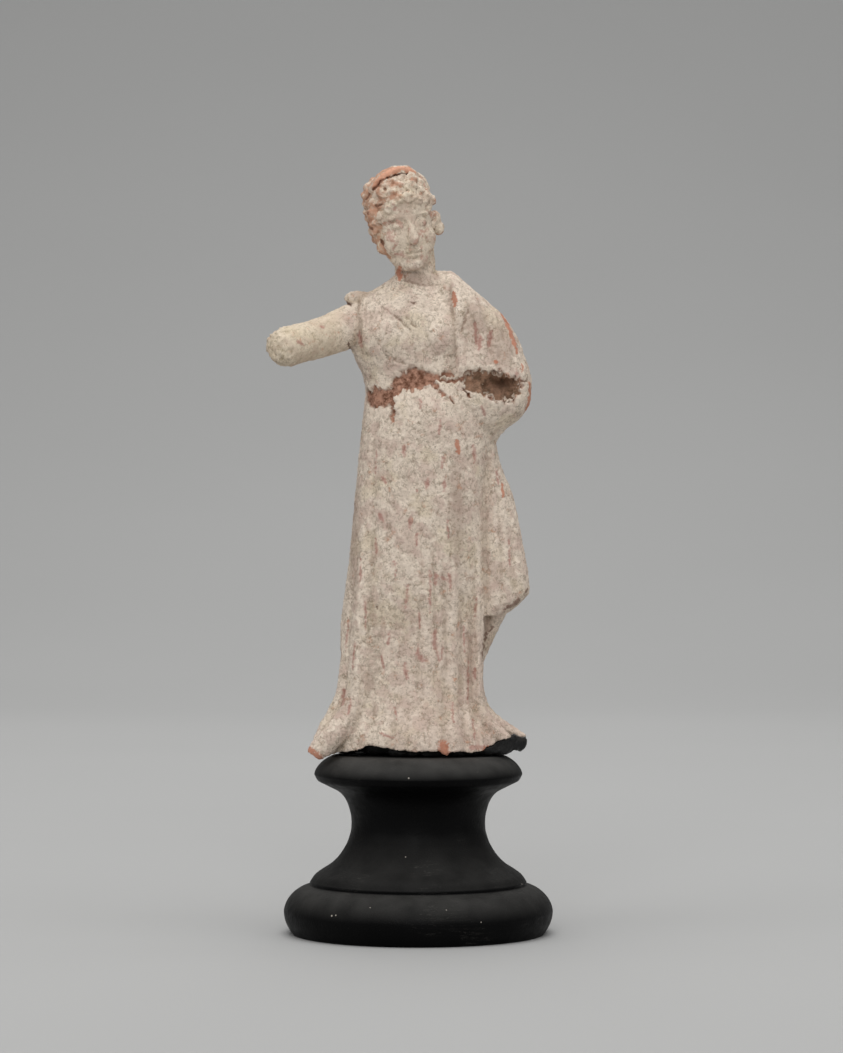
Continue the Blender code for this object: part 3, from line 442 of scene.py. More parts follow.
# Dabs of rubbed, rosy slip as (x, level, x and level of the lower end, half width)
ROSY_DABS = (
    (-2.4, 52.1, -2.4, 50.4, 0.34), (3.7, 56.3, 3.5, 54.0, 0.24), (9.3, 52.1, 9.5, 49.4, 0.31),
    (4.2, 50.1, 3.9, 48.4, 0.22), (1.6, 46.3, 1.5, 44.9, 0.37), (4.4, 46.6, 4.4, 44.6, 0.27),
    (-6.0, 46.8, -5.5, 46.0, 0.31), (-7.0, 51.6, -7.2, 47.3, 0.15), (-1.2, 40.4, -1.4, 38.3, 0.31),
    (-6.5, 40.7, -5.8, 39.3, 0.31), (-7.2, 36.6, -7.0, 34.1, 0.22), (-0.2, 37.3, -0.2, 35.3, 0.2),
    (3.0, 30.7, 2.8, 28.8, 0.26), (3.9, 30.0, 4.7, 29.6, 0.2), (5.2, 30.5, 5.4, 28.3, 0.27),
    (2.0, 31.5, 2.0, 24.0, 0.15), (-1.8, 28.8, -2.1, 24.9, 0.2), (0.1, 24.2, 0.3, 21.8, 0.17),
    (-4.6, 21.1, -5.2, 18.6, 0.22), (2.8, 21.1, 2.7, 18.1, 0.34), (3.2, 17.9, 3.4, 15.7, 0.19),
    (4.2, 19.1, 3.9, 16.4, 0.17), (0.1, 18.8, -0.2, 17.2, 0.2), (-0.2, 17.1, 1.1, 15.9, 0.4),
    (-2.3, 15.7, -1.9, 13.0, 0.34), (7.6, 22.0, 7.8, 17.2, 0.15), (8.5, 15.9, 8.3, 8.7, 0.15),
    (9.5, 14.7, 9.5, 12.1, 0.22), (-12.5, 10.9, -12.8, 8.6, 0.29), (-11.3, 9.4, -11.8, 6.9, 0.2),
    (-9.7, 33.2, -9.7, 29.1, 0.15), (-11.8, 23.0, -12.3, 17.2, 0.15), (-6.2, 16.9, -5.8, 14.3, 0.19),
    (9.8, 26.4, 9.6, 23.4, 0.19), (9.1, 6.0, 9.5, 2.9, 0.19), (10.5, 70.6, 10.2, 68.1, 0.29),
    (12.2, 71.3, 11.9, 69.1, 0.37), (9.5, 72.7, 9.8, 69.3, 0.29), (-9.9, 71.3, -9.6, 68.8, 0.29),
    (16.4, 65.0, 16.6, 63.7, 0.24), (15.1, 74.4, 15.4, 72.7, 0.2), (-10.6, 19.3, -11.1, 14.5, 0.15),
    (13.7, 19.3, 12.5, 15.9, 0.19), (-4.0, 8.2, -3.5, 6.3, 0.2), (-8.9, 26.1, -8.9, 21.3, 0.15),
    (13.2, 48.2, 13.6, 45.5, 0.2), (15.3, 36.3, 15.4, 31.9, 0.17), (-20.1, 69.4, -19.1, 68.8, 0.24),
    (-16.4, 72.2, -15.7, 71.8, 0.2), (8.8, 1.4, 11.5, 1.6, 0.37), (0.3, 59.9, 0.5, 58.4, 0.2),
    (10.7, 58.7, 11.2, 57.0, 0.24), (-12.3, 48.2, -12.5, 44.4, 0.15), (4.9, 39.7, 5.1, 36.1, 0.17),
    (-4.0, 32.9, -3.8, 29.5, 0.15), (5.7, 9.1, 5.9, 5.3, 0.17), (-6.5, 4.0, -3.8, 3.1, 0.19),
)

# Soft brownish stains on the front, as (x, level, half width, half height)
STAINS = ((9.6, 72.8, 3.2, 4.8), (13.9, 69.6, 3.4, 5.2), (-9.6, 78.1, 2.4, 1.1), (-0.1, 80.6, 3.4, 1.5),
          (-12.6, 9.4, 0.9, 2.6), (-10.8, 36.0, 1.2, 14.0), (6.5, 41.0, 1.6, 10.0))

# Chips through the socle's paint, as (x, level, radius) in metres on its front
PAINT_CHIPS = ((-0.0023, 0.0405, 0.00024), (-0.0031, 0.0207, 0.00020), (-0.0210, 0.0071, 0.00030),
               (-0.0200, 0.0073, 0.00024), (0.0257, 0.0130, 0.00024), (0.0068, 0.0091, 0.00018),
               (-0.0116, 0.0095, 0.00018), (0.0152, 0.0060, 0.00018))


# Shapes shared by the pieces

def percent(*values):
    """A point or size of the figurine, in metres."""
    return Vector(values) * PERCENT


def smooth_columns(rows, levels):
    """Every column of the rows at these levels, on a curve that never overshoots a row."""
    table = np.array(rows, float)
    knots, values = table[:, 0], table[:, 1:]
    step = np.diff(knots)[:, None]
    slope = np.diff(values, axis=0) / step
    rising = slope[:-1] * slope[1:]
    total = slope[:-1] + slope[1:]
    inner = np.where(rising > 0, 2 * rising / np.where(total == 0, 1, total), 0)
    tangent = np.vstack([slope[:1], inner, slope[-1:]])
    place = np.clip(np.searchsorted(knots, levels, side="right") - 1, 0, len(knots) - 2)
    share = ((levels - knots[place]) / step[place, 0])[:, None]
    start, end, length = values[place], values[place + 1], step[place]
    return (
        (1 + 2 * share) * (1 - share) ** 2 * start
        + share * (1 - share) ** 2 * length * tangent[place]
        + share**2 * (3 - 2 * share) * end
        + share**2 * (share - 1) * length * tangent[place + 1]
    )


def along(path, levels):
    """The x of a fold's path at these levels."""
    rows = np.array(path, float)
    return np.interp(levels, rows[:, 0], rows[:, 1])


def fade(values, start, end):
    """0 up to start and 1 from end, with soft ends."""
    share = np.clip((values - start) / (end - start), 0, 1)
    return share * share * (3 - 2 * share)


def ring_of(middle, half_width, front, back, corner, around):
    """Plan points of one horizontal ring with rounded corners."""
    turn = np.linspace(0, 2 * math.pi, around, endpoint=False)
    across = np.sign(np.cos(turn)) * np.abs(np.cos(turn)) ** (2 / corner)
    through = np.sign(np.sin(turn)) * np.abs(np.sin(turn)) ** (2 / corner)
    centre, half_depth = (front + back) / 2, (back - front) / 2
    return middle + half_width * across, centre + half_depth * through


def loft(rings):
    """A closed mesh through rings of equally many points, with both ends capped."""
    shape = bmesh.new()
    rows = [[shape.verts.new(point) for point in ring] for ring in rings]
    for lower, upper in zip(rows, rows[1:]):
        for i in range(len(lower)):
            j = (i + 1) % len(lower)
            shape.faces.new((lower[i], lower[j], upper[j], upper[i]))
    shape.faces.new(reversed(rows[0]))
    shape.faces.new(rows[-1])
    bmesh.ops.recalc_face_normals(shape, faces=shape.faces)
    return shape


def drape(rows, corner, around=128, rings=220):
    """A body of cloth lofted through a table of (level, left, right, front, back)."""
    levels = np.linspace(rows[0][0], rows[-1][0], rings)
    columns = smooth_columns(rows, levels)
    made = []
    for level, (left, right, front, back) in zip(levels, columns):
        x, y = ring_of((left + right) / 2, (right - left) / 2, front, back, corner, around)
        made.append([percent(a, b, level) for a, b in zip(x, y)])
    return loft(made)


def lump(x, y, level, half_width, half_depth, half_height):
    """A soft rounded mass."""
    shape = bmesh.new()
    bmesh.ops.create_uvsphere(shape, u_segments=32, v_segments=20, radius=1)
    size = Matrix.Diagonal((*percent(half_width, half_depth, half_height), 1))
    bmesh.ops.transform(shape, matrix=Matrix.Translation(percent(x, y, level)) @ size, verts=shape.verts)
    return shape


def mesh_of(shape, name):
    """A bmesh as mesh data; the bmesh is freed."""
    mesh = bpy.data.meshes.new(name)
    shape.to_mesh(mesh)
    shape.free()
    return mesh


def from_mesh(mesh):
    """Mesh data as a bmesh."""
    shape = bmesh.new()
    shape.from_mesh(mesh)
    return shape


def joined(shapes, place=Matrix.Identity(4)):
    """Several closed shapes as one bmesh, moved to their place."""
    whole = bmesh.new()
    for shape in shapes:
        whole.from_mesh(mesh_of(shape, "piece"))
    bmesh.ops.transform(whole, matrix=place, verts=whole.verts)
    return whole


def new_object(name, data):
    made = bpy.data.objects.new(name, data)
    bpy.context.scene.collection.objects.link(made)
    return made


def baked(obj, name):
    """The object's evaluated mesh as plain mesh data; the object is removed."""
    graph = bpy.context.evaluated_depsgraph_get()
    seen = obj.evaluated_get(graph)
    mesh = bpy.data.meshes.new_from_object(seen, preserve_all_data_layers=True, depsgraph=graph)
    mesh.name = name
    bpy.data.objects.remove(obj)
    return mesh


def one_skin(shape, fineness):
    """Masses grown together into one skin, as pressed clay is."""
    rough = new_object("skin", mesh_of(shape, "skin"))
    merge = rough.modifiers.new("merge", "REMESH")
    merge.mode = "VOXEL"
    merge.voxel_size = fineness
    return baked(rough, "skin")


def tube(points):
    """A limb or fold: a round tube through points of (x, y, level, radius), with round ends."""
    curve = bpy.data.curves.new("tube", "CURVE")
    curve.dimensions = "3D"
    curve.bevel_depth = PERCENT
    curve.bevel_resolution = 8
    curve.resolution_u = 16
    curve.use_fill_caps = True
    spline = curve.splines.new("NURBS")
    spline.points.add(len(points) - 1)
    for knot, (x, y, level, radius) in zip(spline.points, points):
        knot.co = (*percent(x, y, level), 1)
        knot.radius = radius
    spline.order_u = 3
    spline.use_endpoint_u = True
    shape = from_mesh(baked(new_object("tube", curve), "tube"))
    bmesh.ops.remove_doubles(shape, verts=shape.verts, dist=1e-6)
    for x, y, level, radius in (points[0], points[-1]):
        cap = 0.92 * radius
        shape.from_mesh(mesh_of(lump(x, y, level, cap, cap, cap), "cap"))
    return shape


def points_and_normals(mesh):
    points = np.empty(len(mesh.vertices) * 3)
    mesh.vertices.foreach_get("co", points)
    normals = np.empty(len(mesh.vertices) * 3)
    mesh.vertex_normals.foreach_get("vector", normals)
    return points.reshape(-1, 3), normals.reshape(-1, 3)


def softened(points, mesh, rounds):
    """The points after each has moved towards its neighbours a few times."""
    edges = np.empty(len(mesh.edges) * 2, np.int64)
    mesh.edges.foreach_get("vertices", edges)
    first, second = edges.reshape(-1, 2).T
    count = np.bincount(edges, minlength=len(points))
    for _ in range(rounds):
        moved = np.empty_like(points)
        for axis in range(3):
            total = np.bincount(first, points[second, axis], len(points))
            total += np.bincount(second, points[first, axis], len(points))
            moved[:, axis] = 0.5 * points[:, axis] + 0.5 * total / count
        points = moved
    return points


def write_mask(mesh, name, values):
    """A number for each point of the mesh, which its material reads."""
    layer = mesh.attributes.get(name) or mesh.attributes.new(name, "FLOAT", "POINT")
    layer.data.foreach_set("value", np.ascontiguousarray(values, np.float32))


def swells(rows, x, level):
    """Soft swellings of (height, x, level, half width, half height), added up."""
    depth = np.zeros(len(x))
    for height, middle, centre, half_width, half_height in rows:
        depth += height * np.exp(-(((x - middle) / half_width) ** 2) - ((level - centre) / half_height) ** 2)
    return depth


def patches(rows, x, level):
    """Soft ellipses on the front, as a mask from 0 to 1."""
    mask = np.zeros(len(x))
    for middle, height, half_width, half_height in rows:
        reach = ((x - middle) / half_width) ** 2 + ((level - height) / half_height) ** 2
        mask = np.maximum(mask, np.exp(-reach))
    return mask


def shaken(x, level, amount):
    """Places on the front, shifted a little this way and that so that no drawn edge stays smooth."""
    aside = 0.16 * np.sin(4.1 * level) + 0.09 * np.sin(9.7 * level + 1.3 * x) + 0.06 * np.sin(17.0 * level)
    up = 0.13 * np.sin(5.3 * x + 0.6) + 0.09 * np.sin(11.9 * x + 0.9 * level)
    return x + amount * aside, level + amount * up


def dab(x, level, end_x, end, half_width):
    """One short stroke, widest at its middle and narrowest at its lower end."""
    middle = ((x + end_x) / 2, (level + end) / 2, 1.25 * half_width)
    return (x, level, half_width), middle, (end_x, end, 0.8 * half_width)


def strokes(rows, x, level, shake=1.0):
    """Tapering strokes on the front: 1 on their middle line, 0.5 at their edge and 0 at twice their width."""
    nearest = np.full(len(x), 2.0)
    x, level = shaken(x, level, shake)
    for row in rows:
        for (start_x, start, start_width), (end_x, end, end_width) in zip(row, row[1:]):
            run_x, run = end_x - start_x, end - start
            share = np.clip(((x - start_x) * run_x + (level - start) * run) / (run_x**2 + run**2), 0, 1)
            away = np.hypot(x - start_x - share * run_x, level - start - share * run)
            nearest = np.minimum(nearest, away / (start_width + share * (end_width - start_width)))
    return 1 - 0.5 * nearest


def nicked(edge):
    """An edge of (x, level) broken up into small nicks."""
    rough = np.random.default_rng(5)
    places = np.arange(edge[0][0], edge[-1][0], NICK_STEP)
    levels = np.interp(places, *np.array(edge).T)
    waves = np.interp(places, *np.array([(place, rough.random()) for place in np.arange(-25, 26, 1.3)]).T)
    levels += HEM_NICK * (waves + 0.7 * rough.random(len(places)) - 0.85)
    return tuple(zip(places.tolist(), levels.tolist()))


def outline_block(name, outline):
    """A flat outline of (x, level) as a block that runs right through the figurine from front to back."""
    curve = bpy.data.curves.new(name, "CURVE")
    curve.dimensions = "2D"
    curve.fill_mode = "BOTH"
    curve.extrude = CUTTER_REACH * PERCENT
    spline = curve.splines.new("POLY")
    spline.points.add(len(outline) - 1)
    for knot, (x, level) in zip(spline.points, outline):
        knot.co = (*percent(x, level, 0), 1)
    spline.use_cyclic_u = True
    shape = from_mesh(baked(new_object(name, curve), name))
    bmesh.ops.remove_doubles(shape, verts=shape.verts, dist=1e-6)
    bmesh.ops.triangulate(shape, faces=[face for face in shape.faces if len(face.verts) > 4])
    bmesh.ops.transform(shape, matrix=Matrix.Rotation(math.pi / 2, 4, "X"), verts=shape.verts)
    bmesh.ops.recalc_face_normals(shape, faces=shape.faces)
    return new_object(name, mesh_of(shape, name))


def cut_by(obj, cutter):
    """The object's mesh less the cutter; both objects are removed."""
    cut = obj.modifiers.new("cut", "BOOLEAN")
    cut.operation = "DIFFERENCE"
    cut.solver = "MANIFOLD"
    cut.object = cutter
    mesh = baked(obj, obj.name)
    bpy.data.objects.remove(cutter)
    return mesh


# Node trees

def feed(tree, socket, value):
    """Links a socket to another, or sets it to a plain value."""
    if isinstance(value, bpy.types.NodeSocket):
        tree.links.new(value, socket)
    else:
        socket.default_value = value


def add(tree, kind, inputs=None, **settings):
    """A node with its settings and with its inputs fed by name or by number."""
    made = tree.nodes.new(kind)
    made.location = (200 * (len(tree.nodes) % 8), -220 * (len(tree.nodes) // 8))
    for key, value in settings.items():
        setattr(made, key, value)
    for key, value in (inputs or {}).items():
        feed(tree, made.inputs[key], value)
    return made


def maths(tree, operation, first, second=0.0, third=0.0, clamp=False):
    inputs = {0: first, 1: second, 2: third}
    return add(tree, "ShaderNodeMath", inputs, operation=operation, use_clamp=clamp).outputs[0]


def times(tree, first, second, clamp=False):
    return maths(tree, "MULTIPLY", first, second, clamp=clamp)


def times_plus(tree, first, second, third, clamp=False):
    """The first times the second, plus the third."""
    return maths(tree, "MULTIPLY_ADD", first, second, third, clamp)


def plus(tree, first, second):
    return maths(tree, "ADD", first, second)


def minus(tree, first, second):
    return maths(tree, "SUBTRACT", first, second)


def per(tree, length):
    """How often a length fits into a metre, as a texture's scale."""
    return maths(tree, "DIVIDE", 1.0, length)


def stepped(tree, value, low, high):
    """0 below low and 1 above high, with a soft step between."""
    made = add(tree, "ShaderNodeMapRange", {"Value": value, "From Min": low, "From Max": high},
               interpolation_type="SMOOTHSTEP")
    return made.outputs["Result"]


def vector_maths(tree, operation, first, second=(0.0, 0.0, 0.0)):
    return add(tree, "ShaderNodeVectorMath", {0: first, 1: second}, operation=operation).outputs[0]


def scaled(tree, vector, factor):
    made = add(tree, "ShaderNodeVectorMath", {0: vector}, operation="SCALE")
    feed(tree, made.inputs["Scale"], factor)
    return made.outputs[0]


def noise(tree, vector, scale, detail=2.0, roughness=0.5, distortion=0.0):
    made = add(tree, "ShaderNodeTexNoise", {"Vector": vector, "Scale": scale, "Detail": detail,
                                            "Roughness": roughness, "Distortion": distortion})
    return made.outputs[0]


def new_socket(tree, name, kind, value=None, out=False):
    """A named input or output of a node group."""
    way = "OUTPUT" if out else "INPUT"
    socket = tree.interface.new_socket(name, in_out=way, socket_type="NodeSocket" + kind)
    if value is not None:
        socket.default_value = value


def carried(tree, name, kind="FLOAT"):
    """A value that the mesh carries for each point, in a geometry tree."""
    return add(tree, "GeometryNodeInputNamedAttribute", {"Name": name}, data_type=kind).outputs[0]


def shape_tree(name, numbers):
    """A geometry tree with named number inputs and a material input, and its input node."""
    tree = bpy.data.node_groups.new(name, "GeometryNodeTree")
    new_socket(tree, "Geometry", "Geometry")
    for label, value in numbers.items():
        new_socket(tree, label, "Int" if isinstance(value, int) else "Float", value)
    new_socket(tree, "Finish", "Material")
    new_socket(tree, "Geometry", "Geometry", out=True)
    return tree, tree.nodes.new("NodeGroupInput").outputs


def close_tree(tree, geometry, finish):
    """The tree's end: real meshes with their material."""
    real = add(tree, "GeometryNodeRealizeInstances", {"Geometry": geometry})
    painted = add(tree, "GeometryNodeSetMaterial", {"Geometry": real.outputs[0], "Material": finish})
    end = tree.nodes.new("NodeGroupOutput")
    tree.links.new(painted.outputs[0], end.inputs[0])
    return tree


def grown(obj, tree, values):
    """The plain mesh that a geometry tree grows from an object; the object is removed."""
    modifier = obj.modifiers.new(tree.name, "NODES")
    modifier.node_group = tree
    for item in tree.interface.items_tree:
        if item.item_type == "SOCKET" and item.in_out == "INPUT" and item.name in values:
            modifier[item.identifier] = values[item.name]
    return baked(obj, obj.name)


# The figurine

def head_shape():
    """Skull and face, in the head's own frame."""
    rows = [(level, -half_width, half_width, front, back) for level, half_width, front, back in HEAD]
    return drape(rows, HEAD_CORNER, around=96, rings=120)


def front_of_head(x, level):
    """How far forward the skull reaches at this place."""
    half_width, front, back = smooth_columns(HEAD, np.array([level]))[0]
    share = min(0.96, abs(x) / half_width)
    return (front + back) / 2 - (back - front) / 2 * (1 - share**HEAD_CORNER) ** (1 / HEAD_CORNER)


def head_frame():
    """Place and turn of the head on the neck."""
    turned = Euler((HEAD_PITCH, HEAD_LEAN, HEAD_TURN), "XYZ").to_matrix().to_4x4()
    return Matrix.Translation(percent(*HEAD_CENTRE)) @ turned


def curl_tree():
    """Coils of hair on points: each is one strand wound up like a snail, facing out from the head."""
    tree, given = shape_tree("hair_coils", {"Turns": 1.3, "Strand": 0.3, "Dome": 0.5, "Seed": 4})
    coil = add(tree, "GeometryNodeCurveSpiral", {
        "Resolution": 18, "Rotations": given["Turns"], "Start Radius": 0.78, "End Radius": 0.12,
        "Height": given["Dome"]})
    round_strand = add(tree, "GeometryNodeCurvePrimitiveCircle", {"Resolution": 8, "Radius": given["Strand"]})
    strand = add(tree, "GeometryNodeCurveToMesh", {
        "Curve": coil.outputs[0], "Profile Curve": round_strand.outputs[0], "Fill Caps": True})
    core = add(tree, "GeometryNodeMeshUVSphere", {"Segments": 12, "Rings": 8, "Radius": 0.72})
    flat = add(tree, "GeometryNodeTransform", {"Geometry": core.outputs["Mesh"], "Scale": (1.0, 1.0, 0.6)})
    both = add(tree, "GeometryNodeJoinGeometry")
    tree.links.new(flat.outputs[0], both.inputs[0])
    tree.links.new(strand.outputs[0], both.inputs[0])
    facing = carried(tree, "facing", "FLOAT_VECTOR")
    outwards = add(tree, "FunctionNodeAlignRotationToVector", {"Vector": facing}, axis="Z")
    spin = add(tree, "FunctionNodeRandomValue", {"Min": 0.0, "Max": 2 * math.pi, "Seed": given["Seed"]},
               data_type="FLOAT")
    about = add(tree, "ShaderNodeCombineXYZ", {"Z": spin.outputs[1]})
    turned = add(tree, "FunctionNodeRotateRotation", {
        "Rotation": outwards.outputs[0], "Rotate By": about.outputs[0]}, rotation_space="LOCAL")
    placed = add(tree, "GeometryNodeInstanceOnPoints", {
        "Points": given["Geometry"], "Instance": both.outputs[0], "Rotation": turned.outputs[0],
        "Scale": carried(tree, "size")})
    return close_tree(tree, placed.outputs[0], given["Finish"])


def curls():
    """Rows of coiled hair that run from ear to ear over the forehead, in the head's frame."""
    places, sizes = [], []
    uneven = np.random.default_rng(11)
    for count, first, last, side, middle, rise, size in CURL_ROWS:
        for turn in np.radians(np.linspace(first, last, count)):
            aside, up, grown_by = uneven.uniform(-1, 1, 3)
            x, level = side * math.sin(turn) + 0.3 * aside, middle + rise * math.cos(turn) + 0.3 * up
            places.append(percent(x, front_of_head(x, level) + CURL_SINK * size, level))
            sizes.append(size * PERCENT * (1.0 + 0.22 * grown_by))
    places += [percent(*row[:3]) for row in SIDE_CURLS]
    sizes += [row[3] * PERCENT for row in SIDE_CURLS]
    mesh = bpy.data.meshes.new("curl_places")
    mesh.from_pydata(places, [], [])
    middle = percent(0, 1.2, 0.6)
    facing = mesh.attributes.new("facing", "FLOAT_VECTOR", "POINT")
    for item, place in zip(facing.data, places):
        item.vector = (place - middle).normalized()
    write_mask(mesh, "size", sizes)
    coils = grown(new_object("curl_places", mesh), curl_tree(), {
        "Turns": COIL_TURNS, "Strand": COIL_STRAND, "Dome": COIL_DOME})
    return from_mesh(coils)


def figure_shapes():
    """Every mass of the figurine, overlapping, with the lowest hem at level 0."""
    head = [head_shape(), tube(NOSE), tube(CREST), tube(CROWN_BAND), curls()]
    head += [lump(*row) for row in FACE_LUMPS + HAIR_LUMPS]
    body = [drape(BODY, BODY_CORNER)]
    body += [drape(rows, DRAPE_CORNER) for rows in (SHOULDER_DRAPE, HANGING_DRAPE, BACK_DRAPE)]
    folds = (FRONT_LEFT_FOLD, OUTER_LEFT_FOLD, FRONT_RIGHT_FOLD, OUTER_RIGHT_FOLD)
    body += [tube(points) for points in (*folds, ARM, NECK)]
    body += [lump(*row) for row in BODY_LUMPS]
    return [joined(body), joined(head, head_frame())]


def fold_depth(folds, x, level):
    """How far the folds move the surface out at each point, in percent."""
    depth = np.zeros(len(x))
    for height, half_width, path in folds:
        low, high = path[0][0], path[-1][0]
        soft = min(4.0, 0.3 * (high - low))
        ends = fade(level, low - soft, low + soft) * (1 - fade(level, high - soft, high + soft))
        depth += height * ends * np.exp(-(((x - along(path, level)) / half_width) ** 2))
    return depth


def mantle_depth(x, level):
    """The mounds of the front and the step up to the mantle, in percent."""
    edge = x - along(MANTLE_EDGE, level)
    over_chest = fade(level, 63.0, 65.5) * (1 - fade(edge, 2.0, 6.0))
    return swells(MOUNDS, x, level) + MANTLE_STEP * over_chest * fade(edge, -0.35, 0.35)


def mark_depth(x, level):
    """How deep the dark marks of the front go, in percent."""
    depth = np.zeros(len(x))
    for deep, stroke in DEEP_MARKS:
        depth = np.maximum(depth, deep * fade(strokes((stroke,), x, level, 0.5), 0.2, 0.7))
    return depth


def hollow_back(x, level):
    """How far back the floor of the broken sleeve lies, in percent; far in front where there is no hollow."""
    floor = np.full(len(x), -CUTTER_REACH)
    lean = math.sin(HOLLOW_LEAN)
    wide_x, wide_level = shaken(0.55 * x, 0.55 * level, 1.0)
    x, level = wide_x / 0.55, wide_level / 0.55
    for middle, centre, height, half_width, half_depth, half_height in SLEEVE_HOLLOWS:
        across, up = (x - middle) / half_width, (level - height + lean * (x - middle)) / half_height
        reach = across**2 + up**2
        deep = centre + half_depth * np.sqrt(np.clip(1 - reach, 0, 1))
        floor = np.where(reach < 1, np.maximum(floor, deep), floor)
    return floor


def in_head_frame(points):
    """The points in the head's frame, in percent."""
    inverse = np.array(head_frame().inverted())
    return (points @ inverse[:3, :3].T + inverse[:3, 3]) / PERCENT


def face_region(local, front, hairline):
    """1 on the front of the head below the hairline, between these soft limits."""
    return fade(-local[:, 1], *front) * (1 - fade(local[:, 2], *hairline))


def face_depth(x, level):
    """How far the features stand out from the plain face, in percent."""
    depth = swells(FACE_SWELLS, x, level)
    for height, half_width, start, end, base, rise in FACE_LINES:
        share = (2 * x - start - end) / (end - start)
        arc = base + rise * (1 - share**2)
        inside = 1 - fade(np.abs(share), 0.75, 1.15)
        depth += height * inside * np.exp(-(((level - arc) / half_width) ** 2))
    return depth


def strand_depth(x, y, level):
    """Combed strands that run back from the curls to the knot, and the wound knot itself, in percent."""
    around = np.arctan2(x, level - 1.8)
    strands = 0.16 * np.cos(STRANDS * around + 0.6 * np.sin(1.3 * y))
    behind = fade(y, 0.6, 2.0) * (1 - fade(y, 6.0, 7.2)) * fade(level, -4.6, -3.4)
    from_knot = np.hypot(x - 0.2, level - 2.2)
    winding = 0.2 * np.cos(2 * np.arctan2(x - 0.2, level - 2.2) + 3.4 * from_knot)
    knot = fade(y, 6.2, 7.4) * (1 - fade(from_knot, 2.8, 3.6))
    return strands * behind + winding * knot


def carve(mesh):
    """Presses folds, breaks, features and hair into the skin."""
    points, normals = points_and_normals(mesh)
    points = softened(points, mesh, 3)
    x, _, level = (points / PERCENT).T
    front = fade(-normals[:, 1], 0.0, 0.45)
    back = fade(normals[:, 1], 0.1, 0.5)
    cloth = 1 - fade(level, NECK_LEVEL - 1.5, NECK_LEVEL)
    forward = front * cloth * (fold_depth(FRONT_FOLDS + FINE_FOLDS, x, level) + mantle_depth(x, level))
    forward -= back * cloth * fold_depth(BACK_FOLDS, x, level)
    forward -= fade(-normals[:, 1], -0.1, 0.3) * mark_depth(x, level)
    points[:, 1] -= forward * PERCENT
    floor = hollow_back(x, level) * PERCENT
    facing = (normals[:, 1] < 0.2) & (x > SLEEVE_SIDE)
    points[:, 1] = np.where(facing & (floor > points[:, 1]), floor, points[:, 1])

    head = np.array(head_frame())[:3, :3]
    local, turned = in_head_frame(points), normals @ head
    above = fade(level, NECK_LEVEL, NECK_LEVEL + 1)
    face = above * fade(-turned[:, 1], 0.15, 0.5) * (1 - fade(np.abs(local[:, 0]), 3.6, 4.4))
    face *= face_region(local, (3.0, 3.8), (2.6, 3.4))
    points -= (face * face_depth(local[:, 0], local[:, 2]) * PERCENT)[:, None] * head[:, 1]
    points += (above * strand_depth(*local.T) * PERCENT)[:, None] * normals
    mesh.vertices.foreach_set("co", softened(points, mesh, 1).ravel())
    mesh.update()


def on_arm(x, level, limits):
    """1 on the raised arm beyond these soft limits from the axis."""
    return fade(-x, *limits) * fade(level, ARM_LEVEL, ARM_LEVEL + 2)


def break_masks(x, y, level, normals):
    """How far each point belongs to a broken face: the waist strip, the sleeve's hollow and the arm's end."""
    strip = strokes(BREAK_STROKES, x, level) * fade(-normals[:, 1], -0.2, 0.3) * (1 - fade(y, -1.5, 0.5))
    behind = y - hollow_back(x, level)
    hollow = fade(behind, -0.8, -0.2) * (1 - fade(behind, 0.2, 0.8)) * fade(x, SLEEVE_SIDE, SLEEVE_SIDE + 1)
    return strip, hollow, on_arm(x, level, STUMP)


def relief_tree():
    """The slip's crumbly relief: lumps, flakes, finer grain, small pits and the torn face of the breaks."""
    tree, given = shape_tree("slip_relief", {
        "Lump Size": 0.0016, "Lump Depth": 0.0003, "Flake Size": 0.004, "Flake Depth": 0.0001,
        "Grain Size": 0.0007, "Grain Depth": 0.0002, "Pit Size": 0.0015, "Pit Depth": 0.0002,
        "Break Size": 0.0022, "Break Depth": 0.0008})
    place = add(tree, "GeometryNodeInputPosition").outputs[0]
    normal = add(tree, "GeometryNodeInputNormal").outputs[0]

    def waves(size, detail):
        made = noise(tree, place, per(tree, given[size]), detail, 0.65)
        return times_plus(tree, made, 2.0, -1.0)

    lumps = times(tree, waves("Lump Size", 2.0), given["Lump Depth"])
    grain = times(tree, waves("Grain Size", 1.0), given["Grain Depth"])
    flake = stepped(tree, waves("Flake Size", 5.0), -0.08, 0.08)
    flakes = times(tree, flake, given["Flake Depth"])
    cells = add(tree, "ShaderNodeTexVoronoi", {"Vector": place, "Scale": per(tree, given["Pit Size"])})
    pits = times(tree, stepped(tree, cells.outputs["Distance"], 0.34, 0.1), given["Pit Depth"])
    surface = minus(tree, plus(tree, plus(tree, lumps, grain), flakes), pits)
    surface = times(tree, surface, minus(tree, 1.0, carried(tree, "calm")))
    surface = times(tree, surface, times_plus(tree, carried(tree, "rough"), 0.8, 1.0))

    ragged = times_plus(tree, waves("Break Size", 4.0), 0.6, carried(tree, "torn"))
    broken = stepped(tree, ragged, 0.47, 0.58)
    sunk = times(tree, broken, given["Break Depth"])
    crumbs = times(tree, waves("Break Size", 4.0), given["Break Depth"])
    crumbs = times(tree, crumbs, times_plus(tree, carried(tree, "rough"), 0.55, broken))
    height = minus(tree, plus(tree, surface, crumbs), sunk)
    moved = add(tree, "GeometryNodeSetPosition", {
        "Geometry": given["Geometry"], "Offset": scaled(tree, normal, height)}).outputs[0]
    share = maths(tree, "DIVIDE", surface, given["Lump Depth"])
    for name, value in (("relief", share), ("flake", flake), ("broken", broken)):
        moved = add(tree, "GeometryNodeStoreNamedAttribute", {
            "Geometry": moved, "Name": name, "Value": value}, data_type="FLOAT", domain="POINT").outputs[0]
    return close_tree(tree, moved, given["Finish"])


def hem_block(name, reach):
    """Everything between the ragged hem and a level far below or above it."""
    edge = nicked(HEM_EDGE)
    return outline_block(name, edge + ((edge[-1][0], reach), (edge[0][0], reach)))


